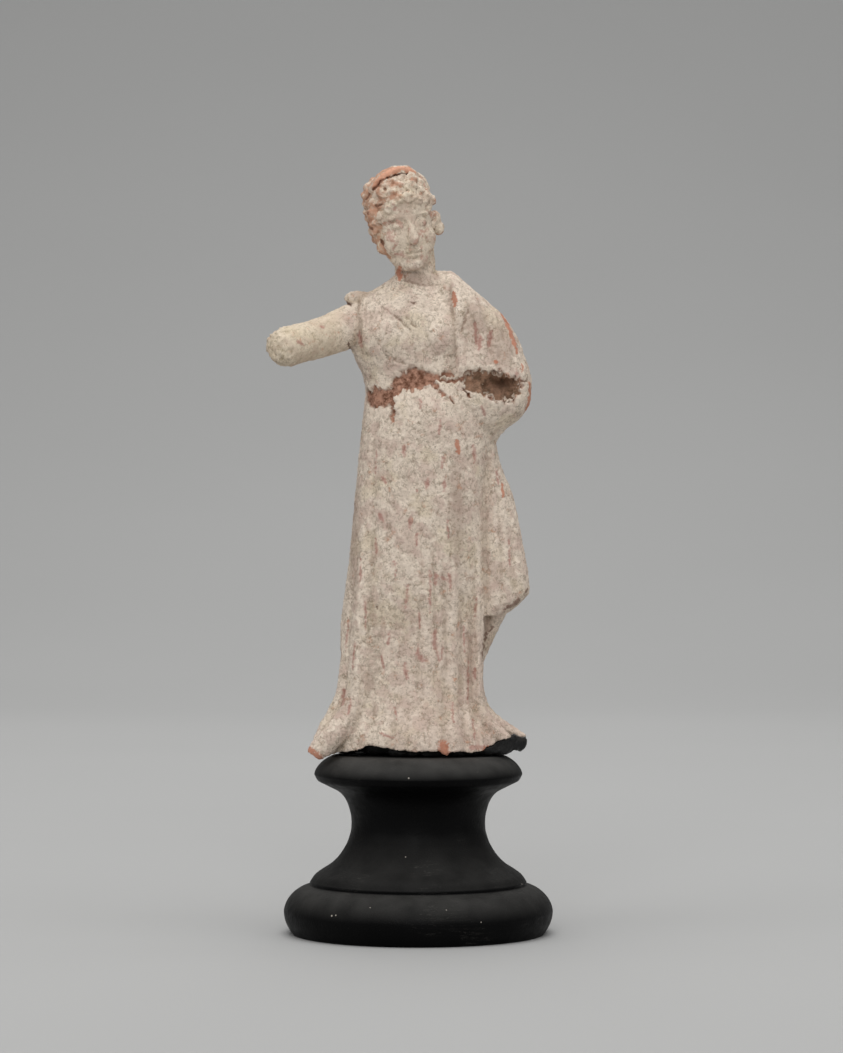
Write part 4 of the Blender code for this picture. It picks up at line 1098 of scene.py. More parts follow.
def thinned(mesh, faces):
    """The mesh with fewer faces, fewest of them taken from the head."""
    obj = new_object("thinned", mesh)
    points, _ = points_and_normals(mesh)
    body = obj.vertex_groups.new(name="body")
    above = points[:, 2] >= NECK_LEVEL * PERCENT
    body.add(np.flatnonzero(~above).tolist(), 1.0, "REPLACE")
    body.add(np.flatnonzero(above).tolist(), HEAD_THINNING, "REPLACE")
    mesh.calc_loop_triangles()
    thin = obj.modifiers.new("thin", "DECIMATE")
    thin.ratio = min(1.0, faces / len(mesh.loop_triangles))
    thin.vertex_group = "body"
    return baked(obj, "thinned")


def finished(mesh, name, finish):
    """A piece made in the figurine's percents, set at its height on the socle and given its finish."""
    mesh.transform(Matrix.Translation((0, 0, FIGURE_BASE)))
    mesh.materials.clear()
    mesh.materials.append(finish)
    mesh.polygons.foreach_set("material_index", np.zeros(len(mesh.polygons), np.int32))
    mesh.shade_smooth()
    return new_object(name, mesh)


def distance_to_band(local):
    """How far each point lies from the raised band over the crown, in percent."""
    nearest = np.full(len(local), 9.0)
    for start, end in zip(CROWN_BAND, CROWN_BAND[1:]):
        start, end = np.array(start[:3]), np.array(end[:3])
        run = end - start
        share = np.clip((local - start) @ run / (run @ run), 0, 1)
        nearest = np.minimum(nearest, np.linalg.norm(local - start - share[:, None] * run, axis=1))
    return nearest


def paint_masks(mesh):
    """What the slip's finish reads at each point: wear, breaks, hair, and how far the point stands out."""
    points, normals = points_and_normals(mesh)
    x, y, level = (points / PERCENT).T
    front = fade(-normals[:, 1], -0.2, 0.3)
    seen = fade(-normals[:, 1], -0.3, 0.1)
    strip, hollow, stump = break_masks(x, y, level, normals)
    proud = np.einsum("ij,ij->i", points - softened(points, mesh, 14), normals) / PERCENT
    local = in_head_frame(points)
    head = fade(level, NECK_LEVEL + 0.5, NECK_LEVEL + 2)
    face = face_region(local, (3.2, 4.4), (3.4, 4.6))
    neck = (1 - fade(local[:, 2], -7.0, -5.0)) * (1 - fade(np.abs(local[:, 0]), 3.6, 4.6))
    hair = head * (1 - np.clip(face + neck, 0, 1))
    masks = {
        "bare": seen * strokes(BARE_STROKES, x, level, 0.5),
        "fleck": front * strokes([dab(*row) for row in ROSY_DABS], x, level, 0.25),
        "tip": seen * strokes(TORN_TIPS, x, level),
        "stain": front * patches(STAINS, x, level),
        "rim": front * strip,
        "stump": stump,
        "limb": on_arm(x, level, BARE_LIMB),
        # the sleeve's hollow, strongest at its darkest patch, where the finish paints shade
        "hollow": hollow * (0.5 + 0.5 * patches(DARKEST_HOLLOW, x, level)),
        # the deep marks, which the finish paints dark as shade
        "mark": front * mark_depth(x, level) / 0.6,
        # how far each point stands out; the finish paints shade where it lies low
        "proud": np.clip(proud / 0.12, -1, 1),
        "head": head,
        "band": head * (1 - fade(distance_to_band(local), 0.5, 0.75)),
        "hair": hair,
        "reddish": hair * (0.3 + 0.5 * (1 - fade(local[:, 0], -2.6, 0.6))),
    }
    for name, values in masks.items():
        write_mask(mesh, name, values)


def fired_figurine(fineness, faces, relief):
    """The fired woman: merged masses, carved folds, crumbly slip, cut along the hem."""
    mesh = one_skin(joined(figure_shapes()), fineness)
    carve(mesh)
    points, normals = points_and_normals(mesh)
    x, y, level = (points / PERCENT).T
    strip, hollow, stump = break_masks(x, y, level, normals)
    write_mask(mesh, "torn", strip * (1 - hollow))
    write_mask(mesh, "rough", np.maximum(0.7 * hollow, 1.4 * stump))
    local = in_head_frame(points)
    on_face = face_region(local, (3.4, 4.4), (2.6, 3.6)) * fade(level, NECK_LEVEL, NECK_LEVEL + 1.5)
    write_mask(mesh, "calm", 0.55 * on_face)
    mesh = grown(new_object("fired_figurine", mesh), relief_tree(), relief)
    mesh = cut_by(new_object("fired_figurine", mesh), hem_block("under_hem", -CUTTER_REACH))
    mesh = thinned(mesh, faces)
    paint_masks(mesh)
    return finished(mesh, "fired_figurine", slip_over_clay())


# The socle

def quarter(flat, upright, roundness):
    """Profile points (radius, level) of a rounded quarter, from its flat end to its upright end."""
    turns = np.radians(np.linspace(0, 90, 26))
    spread = np.sin(turns) ** (2 / roundness)
    rise = np.cos(turns).clip(0) ** (2 / roundness)
    radius = flat[0] + (upright[0] - flat[0]) * spread
    level = upright[1] + (flat[1] - upright[1]) * rise
    return list(zip(radius, level))


def moulding(rows, narrow, wide):
    """Profile points from the narrow end (radius, level) to the wide end, through a table of shares."""
    shares = np.linspace(0, 1, 40)
    spread = smooth_columns(rows, shares)[:, 0]
    radius = narrow[0] + (wide[0] - narrow[0]) * spread
    level = narrow[1] + (wide[1] - narrow[1]) * shares
    return list(zip(radius, level))


def socle_profile():
    """The turned outline, from the middle of the top down the outer side to the middle of the foot."""
    top, foot_radius = SOCLE_HIGH.z, SOCLE_HIGH.x
    cap = (CAP_RADIUS, top - CAP_DROP)
    ledge = (foot_radius - LEDGE_SETBACK, FOOT_HEIGHT + LEDGE_STEP)
    waist = (WAIST_RADIUS, ledge[1] + WAIST_SHARE * (cap[1] - ledge[1]))
    foot = (foot_radius, FOOT_HEIGHT * FOOT_BULGE)
    points = [(radius, top) for radius in np.linspace(0, CAP_RADIUS - CAP_LIP, 12)[:-1]]
    points += quarter((CAP_RADIUS - CAP_LIP, top), cap, CAP_ROUNDNESS)
    points += moulding(UNDER_CAP, waist, cap)[-2::-1]
    points += moulding(FLARE, waist, ledge)[1:]
    points += [(ledge[0] - 0.4 * LEDGE_STEP, FOOT_HEIGHT + 0.2 * LEDGE_STEP)]
    points += quarter((ledge[0] - LEDGE_STEP, FOOT_HEIGHT - 0.4 * LEDGE_STEP), foot, FOOT_ROUNDNESS)[1:]
    for share in np.linspace(0.1, 1.0, 10):
        points.append((foot_radius - FOOT_UNDERCUT * share**2, foot[1] * (1 - share)))
    points += [(radius, 0.0) for radius in np.linspace(foot_radius - FOOT_UNDERCUT, 0, 12)[1:]]
    return points


def turning_tree():
    """Turns a profile of points about the upright axis, with a painter's slight unevenness."""
    tree, given = shape_tree("turned_socle", {"Sides": 160, "Uneven Size": 0.011, "Uneven Depth": 0.00012})
    count = add(tree, "GeometryNodeAttributeDomainSize", {
        "Geometry": given["Geometry"]}, component="MESH").outputs[0]
    columns = plus(tree, given["Sides"], 1.0)
    sheet = add(tree, "GeometryNodeMeshGrid", {"Vertices X": count, "Vertices Y": columns})
    index = add(tree, "GeometryNodeInputIndex").outputs[0]
    ring = maths(tree, "FLOOR", maths(tree, "DIVIDE", plus(tree, index, 0.5), columns))
    side = minus(tree, index, times(tree, ring, columns))
    angle = maths(tree, "DIVIDE", times(tree, side, 2 * math.pi), given["Sides"])
    place = add(tree, "GeometryNodeInputPosition").outputs[0]
    sampled = {"Geometry": given["Geometry"], "Value": place, "Index": ring}
    profile = add(tree, "GeometryNodeSampleIndex", sampled, data_type="FLOAT_VECTOR", domain="POINT")
    flat = add(tree, "ShaderNodeSeparateXYZ", {0: profile.outputs[0]})
    radius, level = flat.outputs["X"], flat.outputs["Z"]
    round_place = add(tree, "ShaderNodeCombineXYZ", {
        "X": times(tree, radius, maths(tree, "COSINE", angle)),
        "Y": times(tree, radius, maths(tree, "SINE", angle)), "Z": level}).outputs[0]
    waves = noise(tree, round_place, per(tree, given["Uneven Size"]), 3.0)
    swell = times(tree, minus(tree, waves, 0.5), given["Uneven Depth"])
    above_floor = stepped(tree, level, 0.0, 0.002)
    swell = times(tree, swell, above_floor)
    outwards = vector_maths(tree, "NORMALIZE", vector_maths(tree, "MULTIPLY", round_place, (1.0, 1.0, 0.0)))
    turned = add(tree, "GeometryNodeSetPosition", {
        "Geometry": sheet.outputs["Mesh"],
        "Position": vector_maths(tree, "ADD", round_place, scaled(tree, outwards, swell))})
    closed = add(tree, "GeometryNodeMergeByDistance", {"Geometry": turned.outputs[0], "Distance": 1e-6})
    smooth = add(tree, "GeometryNodeSetShadeSmooth", {"Geometry": closed.outputs[0]})
    return close_tree(tree, smooth.outputs[0], given["Finish"])


def turned_socle(sides, uneven):
    """The socle, turned from its profile."""
    mesh = bpy.data.meshes.new("profile")
    profile = [(radius, 0.0, level) for radius, level in socle_profile()]
    mesh.from_pydata(profile, [(i, i + 1) for i in range(len(profile) - 1)], [])
    values = {"Sides": sides, "Uneven Depth": uneven, "Finish": black_paint()}
    mesh = grown(new_object("turned_socle", mesh), turning_tree(), values)
    shape = from_mesh(mesh)
    bmesh.ops.recalc_face_normals(shape, faces=shape.faces)
    shape.to_mesh(mesh)
    shape.free()
    return new_object("turned_socle", mesh)


# The filler

def filler(fineness):
    """The black filler: a knifed, lumpy bed that the hem is pressed into."""
    middle, half_width = (BED_LEFT + BED_RIGHT) / 2, (BED_RIGHT - BED_LEFT) / 2
    x, y = ring_of(middle, half_width, BED_FRONT, BED_BACK, BED_CORNER, 160)
    centre_y = (BED_FRONT + BED_BACK) / 2
    rings = []
    for height, spread in smooth_columns([(h, h, s) for h, s in BED_EDGE], np.linspace(0, 1, 24)):
        level = height * BED_HEIGHT
        rings.append([percent(middle + (a - middle) * spread, centre_y + (b - centre_y) * spread, level)
                      for a, b in zip(x, y)])
    mesh = grown(new_object("filler", one_skin(loft(rings), fineness)), knife_tree(), {})
    over_hem = hem_block("over_hem", CUTTER_REACH)
    over_hem.location.z = -GAP
    mesh = cut_by(new_object("filler", mesh), over_hem)
    side, depth = HEM_EDGE[-1][0], 8.0
    floor = ((side, 0.0), (side, -depth), (-side, -depth), (-side, 0.0))
    mesh = cut_by(new_object("filler", mesh), outline_block("under_bed", floor))
    return finished(mesh, "filler", black_filler())


def knife_tree():
    """Flat knife facets with small lumps between them."""
    tree, given = shape_tree("knifed_filler", {
        "Facet Size": 0.005, "Facet Depth": 0.0022, "Lump Depth": 0.0009})
    place = add(tree, "GeometryNodeInputPosition").outputs[0]
    normal = add(tree, "GeometryNodeInputNormal").outputs[0]
    cells = add(tree, "ShaderNodeTexVoronoi", {"Vector": place, "Scale": per(tree, given["Facet Size"])})
    facets = times(tree, minus(tree, 0.35, cells.outputs["Distance"]), given["Facet Depth"])
    lumps = noise(tree, place, 500.0, 3.0)
    lumps = times(tree, minus(tree, lumps, 0.5), given["Lump Depth"])
    offset = scaled(tree, normal, plus(tree, facets, lumps))
    moved = add(tree, "GeometryNodeSetPosition", {"Geometry": given["Geometry"], "Offset": offset})
    return close_tree(tree, moved.outputs[0], given["Finish"])


# Finishes

def linear(red, green, blue):
    """A colour of 0 to 255 per channel as the renderer's own linear colour."""
    shares = [channel / 255 for channel in (red, green, blue)]
    return [share / 12.92 if share <= 0.04045 else ((share + 0.055) / 1.055) ** 2.4 for share in shares]


def mixed(tree, share, first, second):
    """A colour between two others, each a socket or a plain colour."""
    made = add(tree, "ShaderNodeMix", {0: share}, data_type="RGBA")
    for number, value in ((6, first), (7, second)):
        feed(tree, made.inputs[number], value if isinstance(value, bpy.types.NodeSocket) else (*value, 1.0))
    return made.outputs[2]


def mask_of(tree, name):
    """A number that the mesh carries for each point."""
    return add(tree, "ShaderNodeAttribute", attribute_name=name, attribute_type="GEOMETRY").outputs["Fac"]


def shader_group(name, inputs, outputs):
    """A shader node group with named inputs and outputs; returns it with its input and output nodes."""
    group = bpy.data.node_groups.new(name, "ShaderNodeTree")
    for label, value in inputs.items():
        new_socket(group, label, "Vector" if value is None else "Float", value)
    for label in outputs:
        new_socket(group, label, "Float", out=True)
    return group, group.nodes.new("NodeGroupInput").outputs, group.nodes.new("NodeGroupOutput").inputs


def use_group(tree, name, inputs):
    """Places a group that the finishes share; it is built when it is first asked for."""
    group = bpy.data.node_groups.get(name) or SHARED_GROUPS[name](name)
    made = add(tree, "ShaderNodeGroup", node_tree=group)
    for name, value in inputs.items():
        feed(tree, made.inputs[name], value)
    return made.outputs


def mottle_group(name):
    """Uneven tone at three scales: broad clouds, crumbs and fine specks, each from 0 to 1."""
    inputs = {"Vector": None, "Cloud Size": 0.009, "Crumb Size": 0.0012, "Speck Size": 0.0005}
    group, given, out = shader_group(name, inputs, ("Clouds", "Crumbs", "Specks"))
    for label, size, detail, low, high in (("Clouds", "Cloud Size", 3.0, 0.36, 0.64),
                                           ("Crumbs", "Crumb Size", 3.0, 0.34, 0.66),
                                           ("Specks", "Speck Size", 1.0, 0.34, 0.66)):
        waves = noise(group, given["Vector"], per(group, given[size]), detail, 0.6)
        feed(group, out[label], stepped(group, waves, low, high))
    return group


def dust_and_sheen_group(name):
    """Pale dust on upward faces, from 0 to 1; on the socle it also stands for painted sheen."""
    inputs = {"Vector": None, "Amount": 0.3, "Size": 0.0008}
    group, given, out = shader_group(name, inputs, ("Mask",))
    normal = add(group, "ShaderNodeNewGeometry").outputs["Normal"]
    up = add(group, "ShaderNodeSeparateXYZ", {0: normal}).outputs["Z"]
    specks = noise(group, given["Vector"], per(group, given["Size"]), 2.0, 0.5)
    settled = times(group, stepped(group, up, 0.0, 1.0), stepped(group, specks, -0.4, 1.0))
    feed(group, out["Mask"], times(group, settled, given["Amount"], clamp=True))
    return group


def scratch_group(name):
    """Fine scratches and tiny chips, as two masks from 0 to 1."""
    inputs = {"Vector": None, "Length": 0.012, "Chip Size": 0.004}
    group, given, out = shader_group(name, inputs, ("Scratches", "Chips"))
    longer = add(group, "ShaderNodeMapping", {"Vector": given["Vector"], "Rotation": (0.1, 0.3, 0.5),
                                              "Scale": (1.0, 1.0, 14.0)}).outputs[0]
    lines = noise(group, longer, per(group, given["Length"]), 3.0, 0.7, 0.8)
    thin = maths(group, "ABSOLUTE", minus(group, lines, 0.5))
    somewhere = stepped(group, noise(group, given["Vector"], 90.0, 1.0), 0.56, 0.66)
    feed(group, out["Scratches"], times(group, stepped(group, thin, 0.006, 0.001), somewhere))
    cells = add(group, "ShaderNodeTexVoronoi", {"Vector": given["Vector"],
                                                "Scale": per(group, given["Chip Size"])})
    chosen = add(group, "ShaderNodeSeparateColor", {0: cells.outputs["Color"]}).outputs[0]
    small = stepped(group, cells.outputs["Distance"], 0.09, 0.05)
    feed(group, out["Chips"], times(group, small, stepped(group, chosen, 0.9, 0.92)))
    return group


SHARED_GROUPS = {"mottle": mottle_group, "dust_and_sheen": dust_and_sheen_group, "scratches": scratch_group}


def new_material(name):
    """A material with its surface shader and the object's own coordinates."""
    made = bpy.data.materials.new(name)
    made.use_nodes = True
    tree = made.node_tree
    surface = tree.nodes["Principled BSDF"]
    return made, tree, surface, add(tree, "ShaderNodeTexCoord").outputs["Object"]


def mottle(tree, place, cloud, crumb, speck):
    """The mottle's clouds, crumbs and specks at these sizes."""
    made = use_group(tree, "mottle", {
        "Vector": place, "Cloud Size": cloud, "Crumb Size": crumb, "Speck Size": speck})
    return made["Clouds"], made["Crumbs"], made["Specks"]


def set_surface(tree, surface, colour, roughness, specular):
    """Feeds the surface shader its colour, roughness and plain specular level."""
    feed(tree, surface.inputs["Base Color"], colour)
    feed(tree, surface.inputs["Roughness"], roughness)
    surface.inputs["Specular IOR Level"].default_value = specular


def set_bumps(tree, surface, strength, distance, height):
    made = add(tree, "ShaderNodeBump", {"Strength": strength, "Distance": distance, "Height": height})
    feed(tree, surface.inputs["Normal"], made.outputs[0])


def slip_over_clay():
    """Crumbly, stained cream slip over orange clay, which shows where the slip is worn or the clay torn;
    shade is painted into low places, dark marks and the sleeve's hollow.
    """
    colours = bpy.context.scene.figurine_colours
    made, tree, surface, place = new_material("slip_over_clay")
    clouds, crumbs, specks = mottle(tree, place, 0.004, 0.0017, 0.0008)
    ragged = minus(tree, noise(tree, place, 900.0, 3.0, 0.7), 0.5)
    clumps = minus(tree, noise(tree, place, 380.0, 3.0, 0.65), 0.5)
    broad = noise(tree, place, 120.0, 3.0, 0.6)
    grit = noise(tree, place, 2200.0, 2.0, 0.6)

    def spread(name, weight):
        """A mask of the mesh with its edge made ragged."""
        return times_plus(tree, ragged, weight, mask_of(tree, name))

    def laid(colour, mask, amount, over):
        """The colour under a coat of another that covers a share of the mask."""
        return mixed(tree, times(tree, mask, amount), colour, over)

    height = times_plus(tree, mask_of(tree, "relief"), 0.15, 0.16)
    height = times_plus(tree, grit, 0.6, height)
    height = times_plus(tree, crumbs, 0.14, height)
    height = times_plus(tree, mask_of(tree, "flake"), 0.12, height)
    height = times_plus(tree, specks, 0.24, height, clamp=True)
    colour = mixed(tree, height, colours.slip_low, colours.slip_high)
    colour = laid(colour, stepped(tree, broad, 0.52, 0.66), 0.35, colours.yellowish)
    colour = laid(colour, stepped(tree, broad, 0.48, 0.34), 0.35, colours.rosy)
    colour = laid(colour, stepped(tree, clouds, 0.62, 0.95), 0.40, colours.rosy)
    flat = add(tree, "ShaderNodeSeparateXYZ", {0: place}).outputs
    low = stepped(tree, flat["Z"], FIGURE_BASE + 0.05, FIGURE_BASE + 0.01)
    colour = laid(colour, times(tree, low, stepped(tree, flat["X"], -0.010, -0.004)), 0.25, colours.rosy)
    stain = stepped(tree, spread("stain", 1.0), 0.2, 1.0)
    colour = laid(colour, stain, 0.4, colours.soil_and_shade)
    colour = laid(colour, stain, 0.3, colours.rosy)
    for scale, somewhere in ((520.0, clumps), (760.0, ragged)):
        line = maths(tree, "ABSOLUTE", minus(tree, noise(tree, place, scale, 2.0, 0.5), 0.5))
        line = times(tree, stepped(tree, line, 0.035, 0.01), stepped(tree, somewhere, -0.01, 0.06))
        colour = laid(colour, line, 0.5, colours.soil_and_shade)

    pits = noise(tree, place, 950.0, 2.0, 0.6)
    in_pits = times_plus(tree, mask_of(tree, "stump"), 0.4, 0.4)
    colour = laid(colour, times(tree, stepped(tree, pits, 0.56, 0.66), in_pits), 1.0, colours.soil_and_shade)
    colour = laid(colour, mask_of(tree, "head"), 0.2, colours.yellowish)
    colour = laid(colour, mask_of(tree, "limb"), 0.4, colours.yellowish)
    stained = times(tree, stepped(tree, clumps, 0.03, 0.14), mask_of(tree, "head"))
    colour = laid(colour, stained, 0.5, colours.worn_clay)
    # Painted shade: points lying below their neighbours take the soil colour, a little everywhere and more in
    # the hair, and the hair's deepest recesses darker still.
    proud = mask_of(tree, "proud")
    in_hair = times_plus(tree, mask_of(tree, "hair"), 0.45, 0.22)
    colour = mixed(tree, times(tree, stepped(tree, proud, -0.25, -1.0), in_hair), colour, colours.soil_and_shade)
    hair_recess_shade = times(tree, stepped(tree, proud, -0.5, -1.0), mask_of(tree, "hair"))
    colour = laid(colour, hair_recess_shade, 0.4, colours.torn_dark_and_shade)

    marks = use_group(tree, "scratches", {"Vector": place, "Length": 0.012, "Chip Size": 0.0062})
    colour = laid(colour, marks["Chips"], 0.6, colours.worn_clay)
    fleck = spread("fleck", 1.6)
    colour = laid(colour, stepped(tree, fleck, 0.25, 0.85), 0.6, colours.worn_clay)
    colour = laid(colour, stepped(tree, fleck, 0.85, 1.15), 0.35, colours.torn_dark_and_shade)
    reddish = times_plus(tree, clumps, 3.0, spread("reddish", 1.4))
    colour = laid(colour, stepped(tree, reddish, 0.3, 1.0), 0.85, colours.hair)
    colour = laid(colour, stepped(tree, spread("bare", 1.5), 0.3, 0.65), 0.8, colours.bare_clay)
    colour = laid(colour, stepped(tree, spread("band", 0.5), 0.35, 0.6), 0.9, colours.band)

    rim = times(tree, stepped(tree, mask_of(tree, "rim"), 0.2, 0.42), 0.4)
    colour = mixed(tree, rim, colour, colours.slip_high)
    crumbled = times_plus(tree, clumps, 2.4, times_plus(tree, ragged, 2.8, 0.5), clamp=True)
    crust = mixed(tree, crumbled, colours.torn_dark_and_shade, colours.torn_high)
    colour = mixed(tree, mask_of(tree, "broken"), colour, crust)
    colour = laid(colour, stepped(tree, spread("tip", 1.0), 0.3, 0.8), 0.7, colours.torn_dark_and_shade)
    hollow = spread("hollow", 0.25)
    inside = stepped(tree, hollow, 0.15, 0.4)
    colour = laid(mixed(tree, inside, colour, crust), inside, 0.2, colours.yellowish)
    # Painted shade in the darkest part of the sleeve's hollow.
    colour = laid(colour, stepped(tree, hollow, 0.55, 1.05), 0.75, colours.hollow_shade)
    # Painted shade along the deep marks and creases.
    colour = laid(colour, stepped(tree, spread("mark", 0.5), 0.1, 0.9), 0.75, colours.torn_dark_and_shade)
    set_surface(tree, surface, colour, times_plus(tree, specks, 0.08, 0.86), 0.25)
    fine = plus(tree, noise(tree, place, 2400.0, 3.0, 0.7), times(tree, pits, -1.2))
    set_bumps(tree, surface, 0.9, 0.0002, fine)
    return made


def front_of_socle(x, level):
    """The y of the socle's front at this place."""
    profile = sorted((height, radius) for radius, height in socle_profile())
    radius = np.interp(level, *np.array(profile).T)
    return -math.sqrt(max(radius**2 - x**2, 0.0))


def black_paint():
    """Matt black paint on turned wood: brush grain, dust with painted sheen on upward faces, scratches and
    pin-head chips.
    """
    colours = bpy.context.scene.figurine_colours
    made, tree, surface, place = new_material("painted_wood")
    clouds, crumbs, specks = mottle(tree, place, 0.014, 0.0022, 0.0005)
    marks = use_group(tree, "scratches", {"Vector": place, "Length": 0.012, "Chip Size": 0.005})
    up = add(tree, "ShaderNodeSeparateXYZ", {0: place}).outputs["Z"]
    # Painted sheen with the dust: most on the cap's upward faces, more on the foot, and least on the hollow
    # moulding, which stays dark as painted shade under the cap.
    amount = times_plus(tree, stepped(tree, up, 0.034, 0.04), 0.13, 0.1)
    amount = times_plus(tree, stepped(tree, up, 0.0134, 0.0118), 0.06, amount)
    sheen_and_dust = use_group(tree, "dust_and_sheen", {"Vector": place, "Amount": amount, "Size": 0.006})["Mask"]
    colour = mixed(tree, clouds, colours.paint, [1.35 * channel for channel in colours.paint])
    # Pale dust and painted sheen on the upward faces.
    colour = mixed(tree, sheen_and_dust, colour, linear(150, 148, 144))
    colour = mixed(tree, times(tree, marks["Scratches"], 0.12), colour, linear(150, 146, 140))
    chips = times(tree, marks["Chips"], 0.25)
    for x, level, radius in PAINT_CHIPS:
        away = add(tree, "ShaderNodeVectorMath", {0: place, 1: (x, front_of_socle(x, level), level)},
                   operation="DISTANCE").outputs["Value"]
        chips = maths(tree, "MAXIMUM", chips, stepped(tree, away, radius, 0.5 * radius))
    colour = mixed(tree, times(tree, chips, 0.7), colour, linear(190, 182, 170))
    dull = times_plus(tree, crumbs, 0.10, 0.40)
    set_surface(tree, surface, colour, times_plus(tree, sheen_and_dust, 1.5, dull, clamp=True), 0.05)
    set_bumps(tree, surface, 0.35, 0.00008, times_plus(tree, crumbs, 0.7, specks))
    return made


def black_filler():
    """Black-painted filler, a little shinier than the socle, with clay dust on its lumps."""
    colours = bpy.context.scene.figurine_colours
    made, tree, surface, place = new_material("painted_filler")
    clouds, crumbs, _ = mottle(tree, place, 0.005, 0.001, 0.0004)
    sheen_and_dust = use_group(tree, "dust_and_sheen", {"Vector": place, "Amount": 0.05, "Size": 0.001})["Mask"]
    colour = mixed(tree, crumbs, colours.filler, [1.6 * channel for channel in colours.filler])
    colour = mixed(tree, sheen_and_dust, colour, linear(150, 134, 118))
    set_surface(tree, surface, colour, times_plus(tree, clouds, 0.25, 0.32), 0.22)
    set_bumps(tree, surface, 0.6, 0.00012, crumbs)
    return made


def studio_paper():
    """The pale seamless paper under and behind the work."""
    made, tree, surface, place = new_material("studio_paper")
    colour = mixed(tree, noise(tree, place, 3.0, 2.0), linear(174, 174, 173), linear(179, 179, 178))
    set_surface(tree, surface, colour, 0.95, 0.1)
    return made


# The stage

# The paper's half width, front edge, where it starts to turn up, the radius of its turn and its top
SWEEP_HALF_WIDTH, SWEEP_FRONT, SWEEP_TURN, SWEEP_RADIUS, SWEEP_TOP = 3.2, -3.4, 1.1, 1.5, 4.2

# The lamps, as (name, place, target, size, power) in metres and watts, and the even light around
WORK = (0.0, 0.0, 0.1)
LAMPS = (
    ("overhead_box", (0.0, -0.25, 1.35), WORK, 1.3, 9.4),
    ("front_box", (-0.1, -1.9, 1.0), WORK, 1.1, 13.8),
    ("left_box", (-1.2, -0.6, 0.6), WORK, 0.9, 3.0),
    ("right_box", (1.2, -0.6, 0.6), WORK, 0.9, 3.0),
    ("backdrop_box", (0.0, 0.75, 1.6), (0.0, 1.35, 0.0), 1.2, 8.5),
    ("horizon_box", (0.0, 1.1, 1.0), (0.0, 1.1, 0.0), 0.8, 2.8),
)
AMBIENT = 0.25

# The camera, level and straight in front of the work
CAMERA_PLACE, CAMERA_LENS, FILM_WIDTH = (0.0008, -0.880, 0.1016), 120.3, 36.0


def paper_sweep():
    """The floor and the backdrop as one sheet that curves up far behind the work."""
    path = [(SWEEP_FRONT, 0.0), (SWEEP_TURN, 0.0)]
    for angle in np.radians(np.linspace(4, 90, 24)):
        path.append((SWEEP_TURN + SWEEP_RADIUS * math.sin(angle), SWEEP_RADIUS * (1 - math.cos(angle))))
    path.append((SWEEP_TURN + SWEEP_RADIUS, SWEEP_TOP))
    shape = bmesh.new()
    rows = [[shape.verts.new((x, y, z)) for x in (-SWEEP_HALF_WIDTH, SWEEP_HALF_WIDTH)] for y, z in path]
    for lower, upper in zip(rows, rows[1:]):
        shape.faces.new((lower[0], lower[1], upper[1], upper[0]))
    sweep = new_object("paper_sweep", mesh_of(shape, "paper_sweep"))
    sweep.data.materials.append(studio_paper())
    sweep.data.shade_smooth()
    return sweep


def soft_light(name, place, target, size, power):
    """A square soft box that faces the target."""
    light = bpy.data.lights.new(name, "AREA")
    light.shape = "SQUARE"
    light.size = size
    light.energy = power
    box = new_object(name, light)
    box.location = place
    box.rotation_euler = (Vector(target) - Vector(place)).to_track_quat("-Z", "Y").to_euler()


def studio(light):
    """Paper, soft boxes, even surrounding light and the camera."""
    paper_sweep()
    for name, place, target, size, power in LAMPS:
        soft_light(name, place, target, size, power * light)
    world = bpy.data.worlds.new("studio")
    world.use_nodes = True
    around = world.node_tree.nodes["Background"].inputs
    around["Color"].default_value = (1, 1, 1, 1)
    around["Strength"].default_value = AMBIENT * light
    bpy.context.scene.world = world
    bpy.context.scene.view_settings.view_transform = "Standard"

    camera = bpy.data.cameras.new("camera")
    camera.lens, camera.sensor_width, camera.sensor_fit = CAMERA_LENS, FILM_WIDTH, "AUTO"
    camera.clip_start = 0.02
    seen = new_object("camera", camera)
    seen.location = CAMERA_PLACE
    seen.rotation_euler = (math.pi / 2, 0, 0)
    bpy.context.scene.camera = seen


# Settings, operators and panel

def length(name, text, default, **limits):
    return FloatProperty(name=name, description=text, default=default, unit="LENGTH", precision=5, **limits)


def tint(name, text, default):
    limits = {"min": 0.0, "max": 1.0}
    return FloatVectorProperty(name=name, description=text, default=default, subtype="COLOR", **limits)


class FigurineSizes(bpy.types.PropertyGroup):
    """Sizes of the figurine's skin and relief, of the socle's turning and of the filler."""

    fineness: length("Skin Fineness", "Edge length of the skin before it is thinned", 0.00026, min=0.0001)
    faces: IntProperty(name="Faces", description="Triangles left on the figurine", default=188000, min=5000)
    lump_size: length("Lump Size", "Width of the slip's lumps", 0.0017)
    lump_depth: length("Lump Depth", "Height of the slip's lumps", 0.00024)
    grain_size: length("Grain Size", "Width of the slip's grains", 0.0008)
    grain_depth: length("Grain Depth", "Height of the slip's grains", 0.00022)
    flake_size: length("Flake Size", "Width of the slip's thin flakes", 0.0042)
    flake_depth: length("Flake Depth", "Thickness of the slip's thin flakes", 0.0001)
    pit_size: length("Pit Spacing", "Distance between small pits", 0.0015)
    pit_depth: length("Pit Depth", "Depth of the small pits", 0.0002)
    break_depth: length("Break Depth", "Depth of the torn strip and height of its crumbs", 0.0008)
    socle_sides: IntProperty(name="Socle Sides", description="Facets around the socle", default=168, min=24)
    uneven_depth: length("Socle Unevenness", "Depth of the unevenness under the paint", 0.00012)
    filler_fineness: length("Filler Fineness", "Edge length of the filler's skin", 0.0003, min=0.0001)


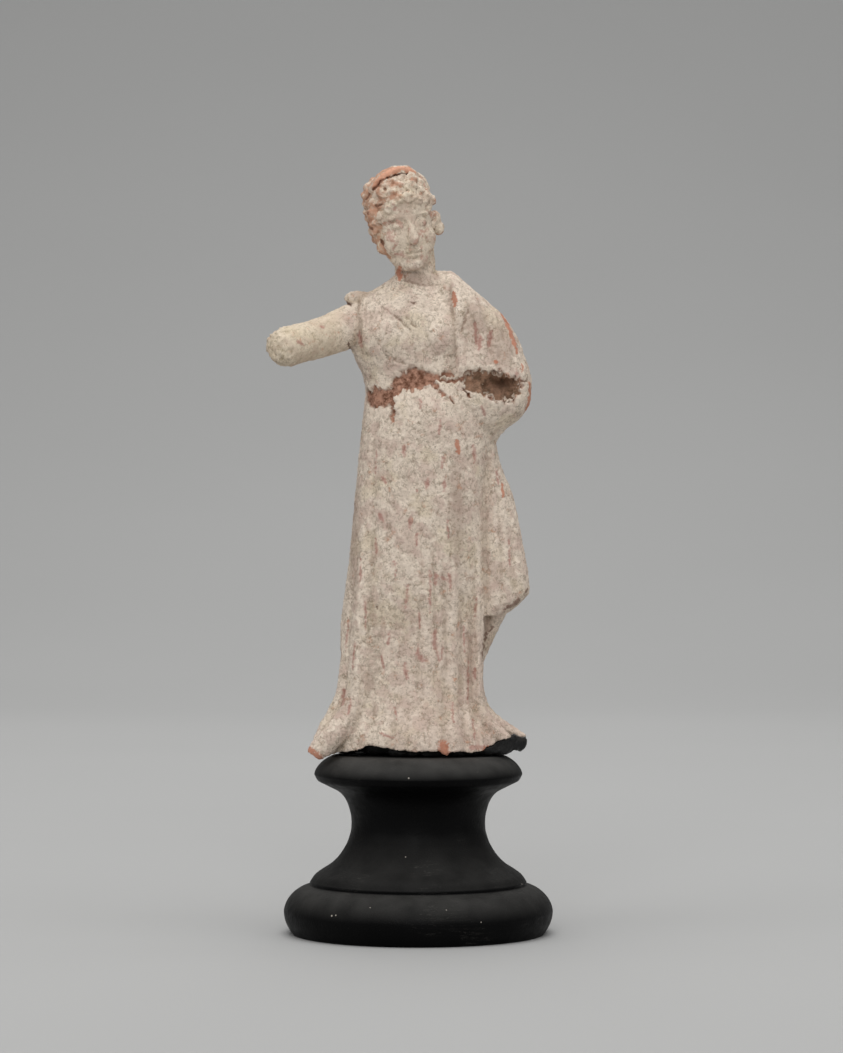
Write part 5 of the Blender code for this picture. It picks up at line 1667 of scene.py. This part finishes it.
class FigurineColours(bpy.types.PropertyGroup):
    """Colours of slip, clay, paint and filler, some of which also serve as painted shade."""

    slip_high: tint("Slip Light", "Clean slip on the high grains", linear(236, 221, 204))
    slip_low: tint("Slip Dark", "Slip in the low grains", linear(174, 156, 140))
    yellowish: tint("Yellowish Slip", "Slip with a yellow tinge", linear(205, 189, 158))
    rosy: tint("Rosy Slip", "Slip stained by the clay", linear(190, 162, 150))
    # Soil in stains, lines and pits, and also painted shade in the low places of the slip and hair
    soil_and_shade: tint("Soil", "Soil left in pits and hollows", linear(136, 122, 103))
    worn_clay: tint("Worn Clay", "Clay that shows through thin slip", linear(172, 118, 108))
    bare_clay: tint("Bare Clay", "Clay with no slip left", linear(188, 120, 92))
    band: tint("Crown Band", "Orange clay of the raised band", linear(216, 160, 132))
    hair: tint("Hair", "Reddish colour left on the hair", linear(190, 144, 118))
    torn_high: tint("Torn Clay Light", "High crumbs of the broken faces", linear(188, 144, 122))
    # Dark torn clay of the broken faces and tips, and also painted shade in the deep marks and the hair's
    # recesses
    torn_dark_and_shade: tint("Torn Clay Dark", "Low crumbs of the broken faces", linear(100, 64, 46))
    # Painted shade in the darkest part of the sleeve's hollow
    hollow_shade: tint("Deepest Clay", "Clay in the darkest hollows", linear(72, 48, 34))
    paint: tint("Black Paint", "Paint on the socle", (0.0022, 0.0022, 0.0023))
    filler: tint("Black Filler", "Paint on the filler", (0.006, 0.006, 0.0059))


class FigurineStage(bpy.types.PropertyGroup):
    """The studio around the work."""

    light: FloatProperty(name="Light", description="Brightness of every lamp", default=1.0, min=0.0, max=10.0)


class FIGURINE_OT_clay(bpy.types.Operator):
    """Make the fired woman with her folds, breaks, hair and worn slip"""

    bl_idname = "figurine.clay"
    bl_label = "Fired Figurine"

    def execute(self, context):
        sizes = context.scene.figurine_sizes
        coarse = 1.0
        relief = {"Break Depth": sizes.break_depth}
        for kind in ("Lump", "Grain", "Flake", "Pit"):
            for measure in ("Size", "Depth"):
                relief[kind + " " + measure] = getattr(sizes, (kind + "_" + measure).lower())
        piece = fired_figurine(sizes.fineness * coarse, int(sizes.faces / coarse**2), relief)
        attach(piece, "root")
        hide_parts("figurine")
        return {"FINISHED"}


class FIGURINE_OT_socle(bpy.types.Operator):
    """Turn the black socle from its profile"""

    bl_idname = "figurine.socle"
    bl_label = "Turned Socle"

    def execute(self, context):
        sizes = context.scene.figurine_sizes
        piece = turned_socle(sizes.socle_sides, sizes.uneven_depth)
        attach(piece, "root")
        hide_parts("socle")
        return {"FINISHED"}


class FIGURINE_OT_filler(bpy.types.Operator):
    """Lay the lumpy black filler between hem and socle"""

    bl_idname = "figurine.filler"
    bl_label = "Black Filler"

    def execute(self, context):
        piece = filler(context.scene.figurine_sizes.filler_fineness)
        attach(piece, "root")
        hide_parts("filler_bed")
        return {"FINISHED"}


class FIGURINE_OT_stage(bpy.types.Operator):
    """Set up paper, soft light and camera"""

    bl_idname = "figurine.stage"
    bl_label = "Stage"

    def execute(self, context):
        studio(context.scene.figurine_stage.light)
        return {"FINISHED"}


class FIGURINE_PT_panel(bpy.types.Panel):
    """The figurine's pieces and settings"""

    bl_idname = "FIGURINE_PT_panel"
    bl_label = "Figurine"
    bl_space_type = "VIEW_3D"
    bl_region_type = "UI"
    bl_category = "Figurine"

    def draw(self, context):
        scene = context.scene
        for group in (scene.figurine_sizes, scene.figurine_colours, scene.figurine_stage):
            box = self.layout.box()
            for name in group.__annotations__:
                box.prop(group, name)
        for piece in OPERATORS:
            self.layout.operator(piece.bl_idname)


GROUPS = {
    "figurine_sizes": FigurineSizes,
    "figurine_colours": FigurineColours,
    "figurine_stage": FigurineStage,
}
OPERATORS = (FIGURINE_OT_socle, FIGURINE_OT_filler, FIGURINE_OT_clay, FIGURINE_OT_stage)


def register():
    for kind in (*GROUPS.values(), *OPERATORS, FIGURINE_PT_panel):
        bpy.utils.register_class(kind)
    for name, kind in GROUPS.items():
        setattr(bpy.types.Scene, name, PointerProperty(type=kind))


def unregister():
    for name in GROUPS:
        delattr(bpy.types.Scene, name)
    for kind in (FIGURINE_PT_panel, *reversed(OPERATORS), *reversed(GROUPS.values())):
        bpy.utils.unregister_class(kind)


def main():
    """Makes every piece in turn."""
    register()
    bpy.ops.figurine.socle()
    bpy.ops.figurine.filler()
    bpy.ops.figurine.clay()
    bpy.ops.figurine.stage()


if __name__ == "__main__":
    main()
